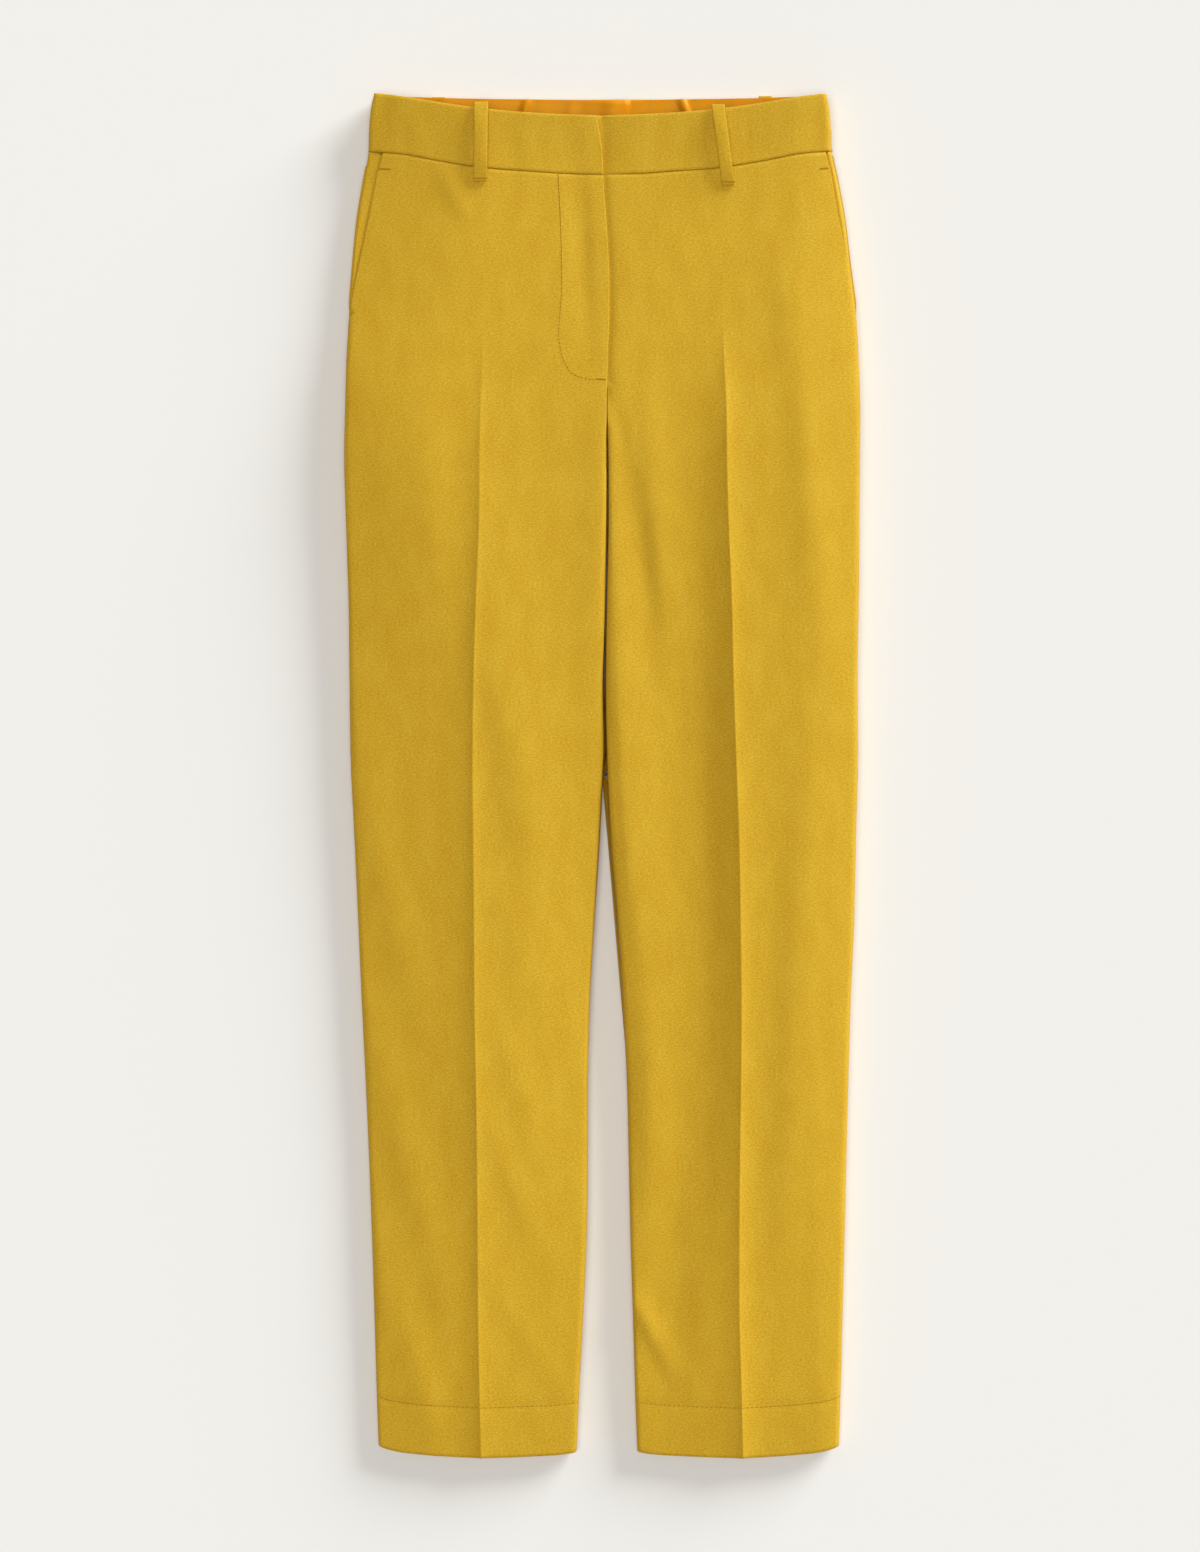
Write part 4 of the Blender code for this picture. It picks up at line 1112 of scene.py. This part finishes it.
for source, out, target, into in (
        (came, "Geometry", curve, 0), (curve, 0, places, "Curve"), (came, "Pitch", places, "Length"),
        (came, "Thread Length", size, 0), (came, "Thread Width", size, 1), (came, "Thread Width", size, 2),
        (ball, 0, shaped, "Geometry"), (size, 0, shaped, "Scale"), (places, "Tangent", aim, "Vector"),
        (came, "Uneven", wobble, 3), (came, "Seed", wobble, "Seed"), (angle, 0, turned, 0),
        (aim, 0, both, 0), (turned, 0, both, 1), (places, "Points", put, "Points"),
        (shaped, 0, put, "Instance"), (both, 0, put, "Rotation"), (put, 0, real, 0),
        (real, 0, finish, "Geometry"), (came, "Thread", finish, "Material"), (finish, 0, goes, 0)):
    stitch_tree.links.new(source.outputs[out], target.inputs[into])
SOCKETS = {item.name: item.identifier for item in stitch_tree.interface.items_tree
           if item.in_out == "INPUT"}
print("stitch tree:", len(stitch_tree.nodes), "nodes")

# %% [markdown]
# ## Thread and needle holes
# The thread is a shade darker than the cloth, and lies a little in it. A needle leaves a small pit at each
# end of a stitch. Each pit is a very dark spot of painted shade that stands for the shadow down in the hole,
# and from a step away those dark spots are what makes a row of stitches show.

# %% Thread material
FIBRE_SCALE, FIBRE_DEPTH = 1800.0, 0.00005


def fibre_material(name, dark, light, roughness):
    """A thread: fine noise on Object coordinates varies its colour."""
    made, tree, shader = new_material(name, {"Roughness": roughness, "Specular IOR Level": 0.15})
    fleck = noise(tree, add(tree, "ShaderNodeTexCoord").outputs["Object"], FIBRE_SCALE, 1.0)
    tree.links.new(blended(tree, fleck, dark, light), shader.inputs["Base Color"])
    raise_surface(tree, shader, fleck, FIBRE_DEPTH)
    return made


thread = fibre_material("mustard_thread", (0.34, 0.165, 0.002, 1), (0.48, 0.25, 0.008, 1), 0.6)
# Painted shade: the needle holes' very dark colour stands for the shadow down in each hole.
needle_hole_shade = fibre_material("needle_hole_shade", (0.17, 0.075, 0.001, 1), (0.26, 0.12, 0.002, 1), 0.9)


# %% Lay a row of stitches
def stitched(name, path, material, pitch, length, width, turn=0.0, uneven=0.06, seed=3):
    """Run the stitch tree along a path of points in mm, and keep the result as a plain mesh."""
    mesh = bpy.data.meshes.new(name)
    mesh.from_pydata(((path - [0.0, LENGTH / 2, 0.0]) * MM).tolist(),
                     [(k, k + 1) for k in range(len(path) - 1)], [])
    made = linked(name, mesh)
    modifier = made.modifiers.new("stitches", "NODES")
    modifier.node_group = stitch_tree
    for label, value in (("Pitch", pitch * MM), ("Thread Length", length * MM), ("Thread Width", width * MM),
                         ("Turn", turn), ("Uneven", uneven), ("Seed", seed), ("Thread", material)):
        modifier[SOCKETS[label]] = value
    shown = made.evaluated_get(bpy.context.evaluated_depsgraph_get())
    result = bpy.data.meshes.new_from_object(shown)
    made.modifiers.clear()
    made.data = result
    result.name = name
    result.shade_smooth()
    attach(made, "root")
    print(name, len(result.polygons), "faces")
    return made


def path_on(height, leg, x, up, off):
    """A path of points that lie on a surface, or a little off it."""
    return np.stack([x, up, height(leg, x, up) + off], axis=1)


def evenly(path, spacing):
    """The same path with its points evenly spaced."""
    along = lengths_along(path[None])[0]
    wanted = np.arange(0.0, along[-1], spacing)
    return np.stack([np.interp(wanted, along, path[:, k]) for k in range(3)], axis=1)


# %% [markdown]
# ## Topstitching
# A J-shaped row holds the fly's facing, from the waist seam round to the centre front. A row round each
# hem holds the turned-up cloth. Bar tacks close the pocket mouths, the foot of the fly and the loops.

# %% Fly and hem rows
FLY_STITCH = table(
    "share x up",
    (0.0, -32.4, 948.7), (0.206, -30.6, 913.5), (0.497, -29.7, 862.4),
    (0.724, -31.0, 822.5), (0.789, -28.2, 811.4), (0.857, -22.0, 801.7),
    (0.911, -13.0, 798.0), (1.0, 2.4, 796.7),
)
FLY_PITCH, HEM_PITCH, THREAD_WIDTH = 2.7, 3.4, 0.5
THREAD_SHARE = 0.74  # of the pitch; the rest lies below the cloth
# size of the dark spot of painted shade at each needle hole
HOLE_SHADE_LENGTH, HOLE_SHADE_WIDTH = 0.95, 0.62
STITCH_UP = 0.02  # a thread's middle over the cloth
SIDE_TURN = 0.8  # the hem rows stop this far short of the seams
FLY_POINTS, HEM_POINTS = 160, 200
share = np.linspace(0.0, 1.0, FLY_POINTS)
x, up = read(FLY_STITCH, "x", share), read(FLY_STITCH, "up", share)
fly_path = path_on(dressed_height, RIGHT, x, up, STITCH_UP)
rows = [("fly_topstitch", "right_front", fly_path, FLY_PITCH)]
for leg, name in SIDES.items():
    ends = [edge_of(leg, which, np.array(HEM_STITCH)) for which in ("out", "in")]
    x = np.linspace(ends[0] - leg * SIDE_TURN, ends[1] + leg * SIDE_TURN, HEM_POINTS)
    up = row_up(HEM_STITCH, leg, x)
    for part, height, off in (("front", dressed_height, STITCH_UP), ("back", dressed_back, -STITCH_UP)):
        path = path_on(height, leg, x, up, off)
        rows.append((f"{name}_{part}_hem_topstitch", f"{name}_{part}", path, HEM_PITCH))
sewing = {}
for name, carrier, path, pitch in rows:
    half_way = evenly(path, pitch / 2)
    threads = stitched(name, half_way[1:], thread, pitch, pitch * THREAD_SHARE, THREAD_WIDTH)
    # each needle hole gets a dark spot of painted shade
    hole_shades = stitched(f"{name}_holes", half_way, needle_hole_shade, pitch, HOLE_SHADE_LENGTH, HOLE_SHADE_WIDTH)
    sewing.setdefault(carrier, []).extend([threads, hole_shades])

# %% Bar tacks
TACKS = table(
    "name carrier leg x_a up_a x_b up_b",
    ("right_pocket_tack", "right_front", RIGHT, -165.0, 953.9, -156.4, 953.4),
    ("left_pocket_tack", "left_front", LEFT, 161.0, 953.2, 167.2, 953.8),
    ("fly_tack", "right_front", RIGHT, -3.4, 797.6, 2.8, 797.0),
)
TACK_PITCH, TACK_THREAD, TACK_SWING = 0.38, 0.42, 0.15
TACK_WIDTH, TACK_UP, TACK_POINTS = 1.5, 0.06, 40
LOOP_TACK_WIDTH, LOOP_TACK_UP, LOOP_TACK_ROW = 1.3, 0.05, 43


def bar_tack(name, carrier, path, width):
    """Threads packed close along a short path and turned across it."""
    made = stitched(name, path, thread, TACK_PITCH, width, TACK_THREAD, np.pi / 2, TACK_SWING)
    sewing.setdefault(carrier, []).append(made)


for tack in TACKS:
    x, up = np.linspace((tack.x_a, tack.up_a), (tack.x_b, tack.up_b), TACK_POINTS).T
    bar_tack(tack.name, tack.carrier, path_on(dressed_height, tack.leg, x, up, TACK_UP), TACK_WIDTH)
for name in ("right_front_loop", "left_front_loop"):
    path = loop_tops[name][LOOP_TACK_ROW] + [0.0, 0.0, LOOP_TACK_UP]
    bar_tack(f"{name}_tack", name, path, LOOP_TACK_WIDTH)

# %% [markdown]
# Each piece is a flat cut of cloth that was laid down, so the table below gives how large it was cut and what
# it rests on. Sizes are those of the cloth that shows, without its turnings.

# %% Cuts
CUTS = table(
    "piece width length area rests",
    ("right_front", 0.214, 0.966, 0.182, "right_back"),
    ("left_front", 0.212, 0.966, 0.178, "left_back"),
    ("right_back", 0.210, 0.975, 0.180, "paper"),
    ("left_back", 0.210, 0.975, 0.180, "paper"),
    ("right_hip_piece", 0.047, 0.123, 0.0056, "right_front"),
    ("left_hip_piece", 0.041, 0.123, 0.0050, "left_front"),
    ("fly_tape", 0.020, 0.154, 0.0030, "right_front"),
    ("fly_underlap_cloth", 0.030, 0.154, 0.0045, "right_front"),
    ("right_front_band", 0.184, 0.043, 0.0078, "right_back_band"),
    ("left_front_band", 0.212, 0.043, 0.0090, "left_back_band"),
    ("right_back_band", 0.180, 0.043, 0.0076, "right_back_loop"),
    ("left_back_band", 0.176, 0.043, 0.0074, "left_back_loop"),
    ("satin_band_lining", 0.345, 0.043, 0.0142, "right_back_band"),
    ("right_front_loop", 0.0104, 0.057, 0.00059, "right_front_band"),
    ("left_front_loop", 0.0100, 0.057, 0.00056, "left_front_band"),
    ("right_back_loop", 0.0100, 0.057, 0.00053, "paper"),
    ("left_back_loop", 0.0100, 0.057, 0.00053, "paper"),
)
for cut in CUTS:
    print(cut.piece, "cut", cut.width, "x", cut.length, "laid", [round(v, 4) for v in cloth_sizes[cut.piece]])
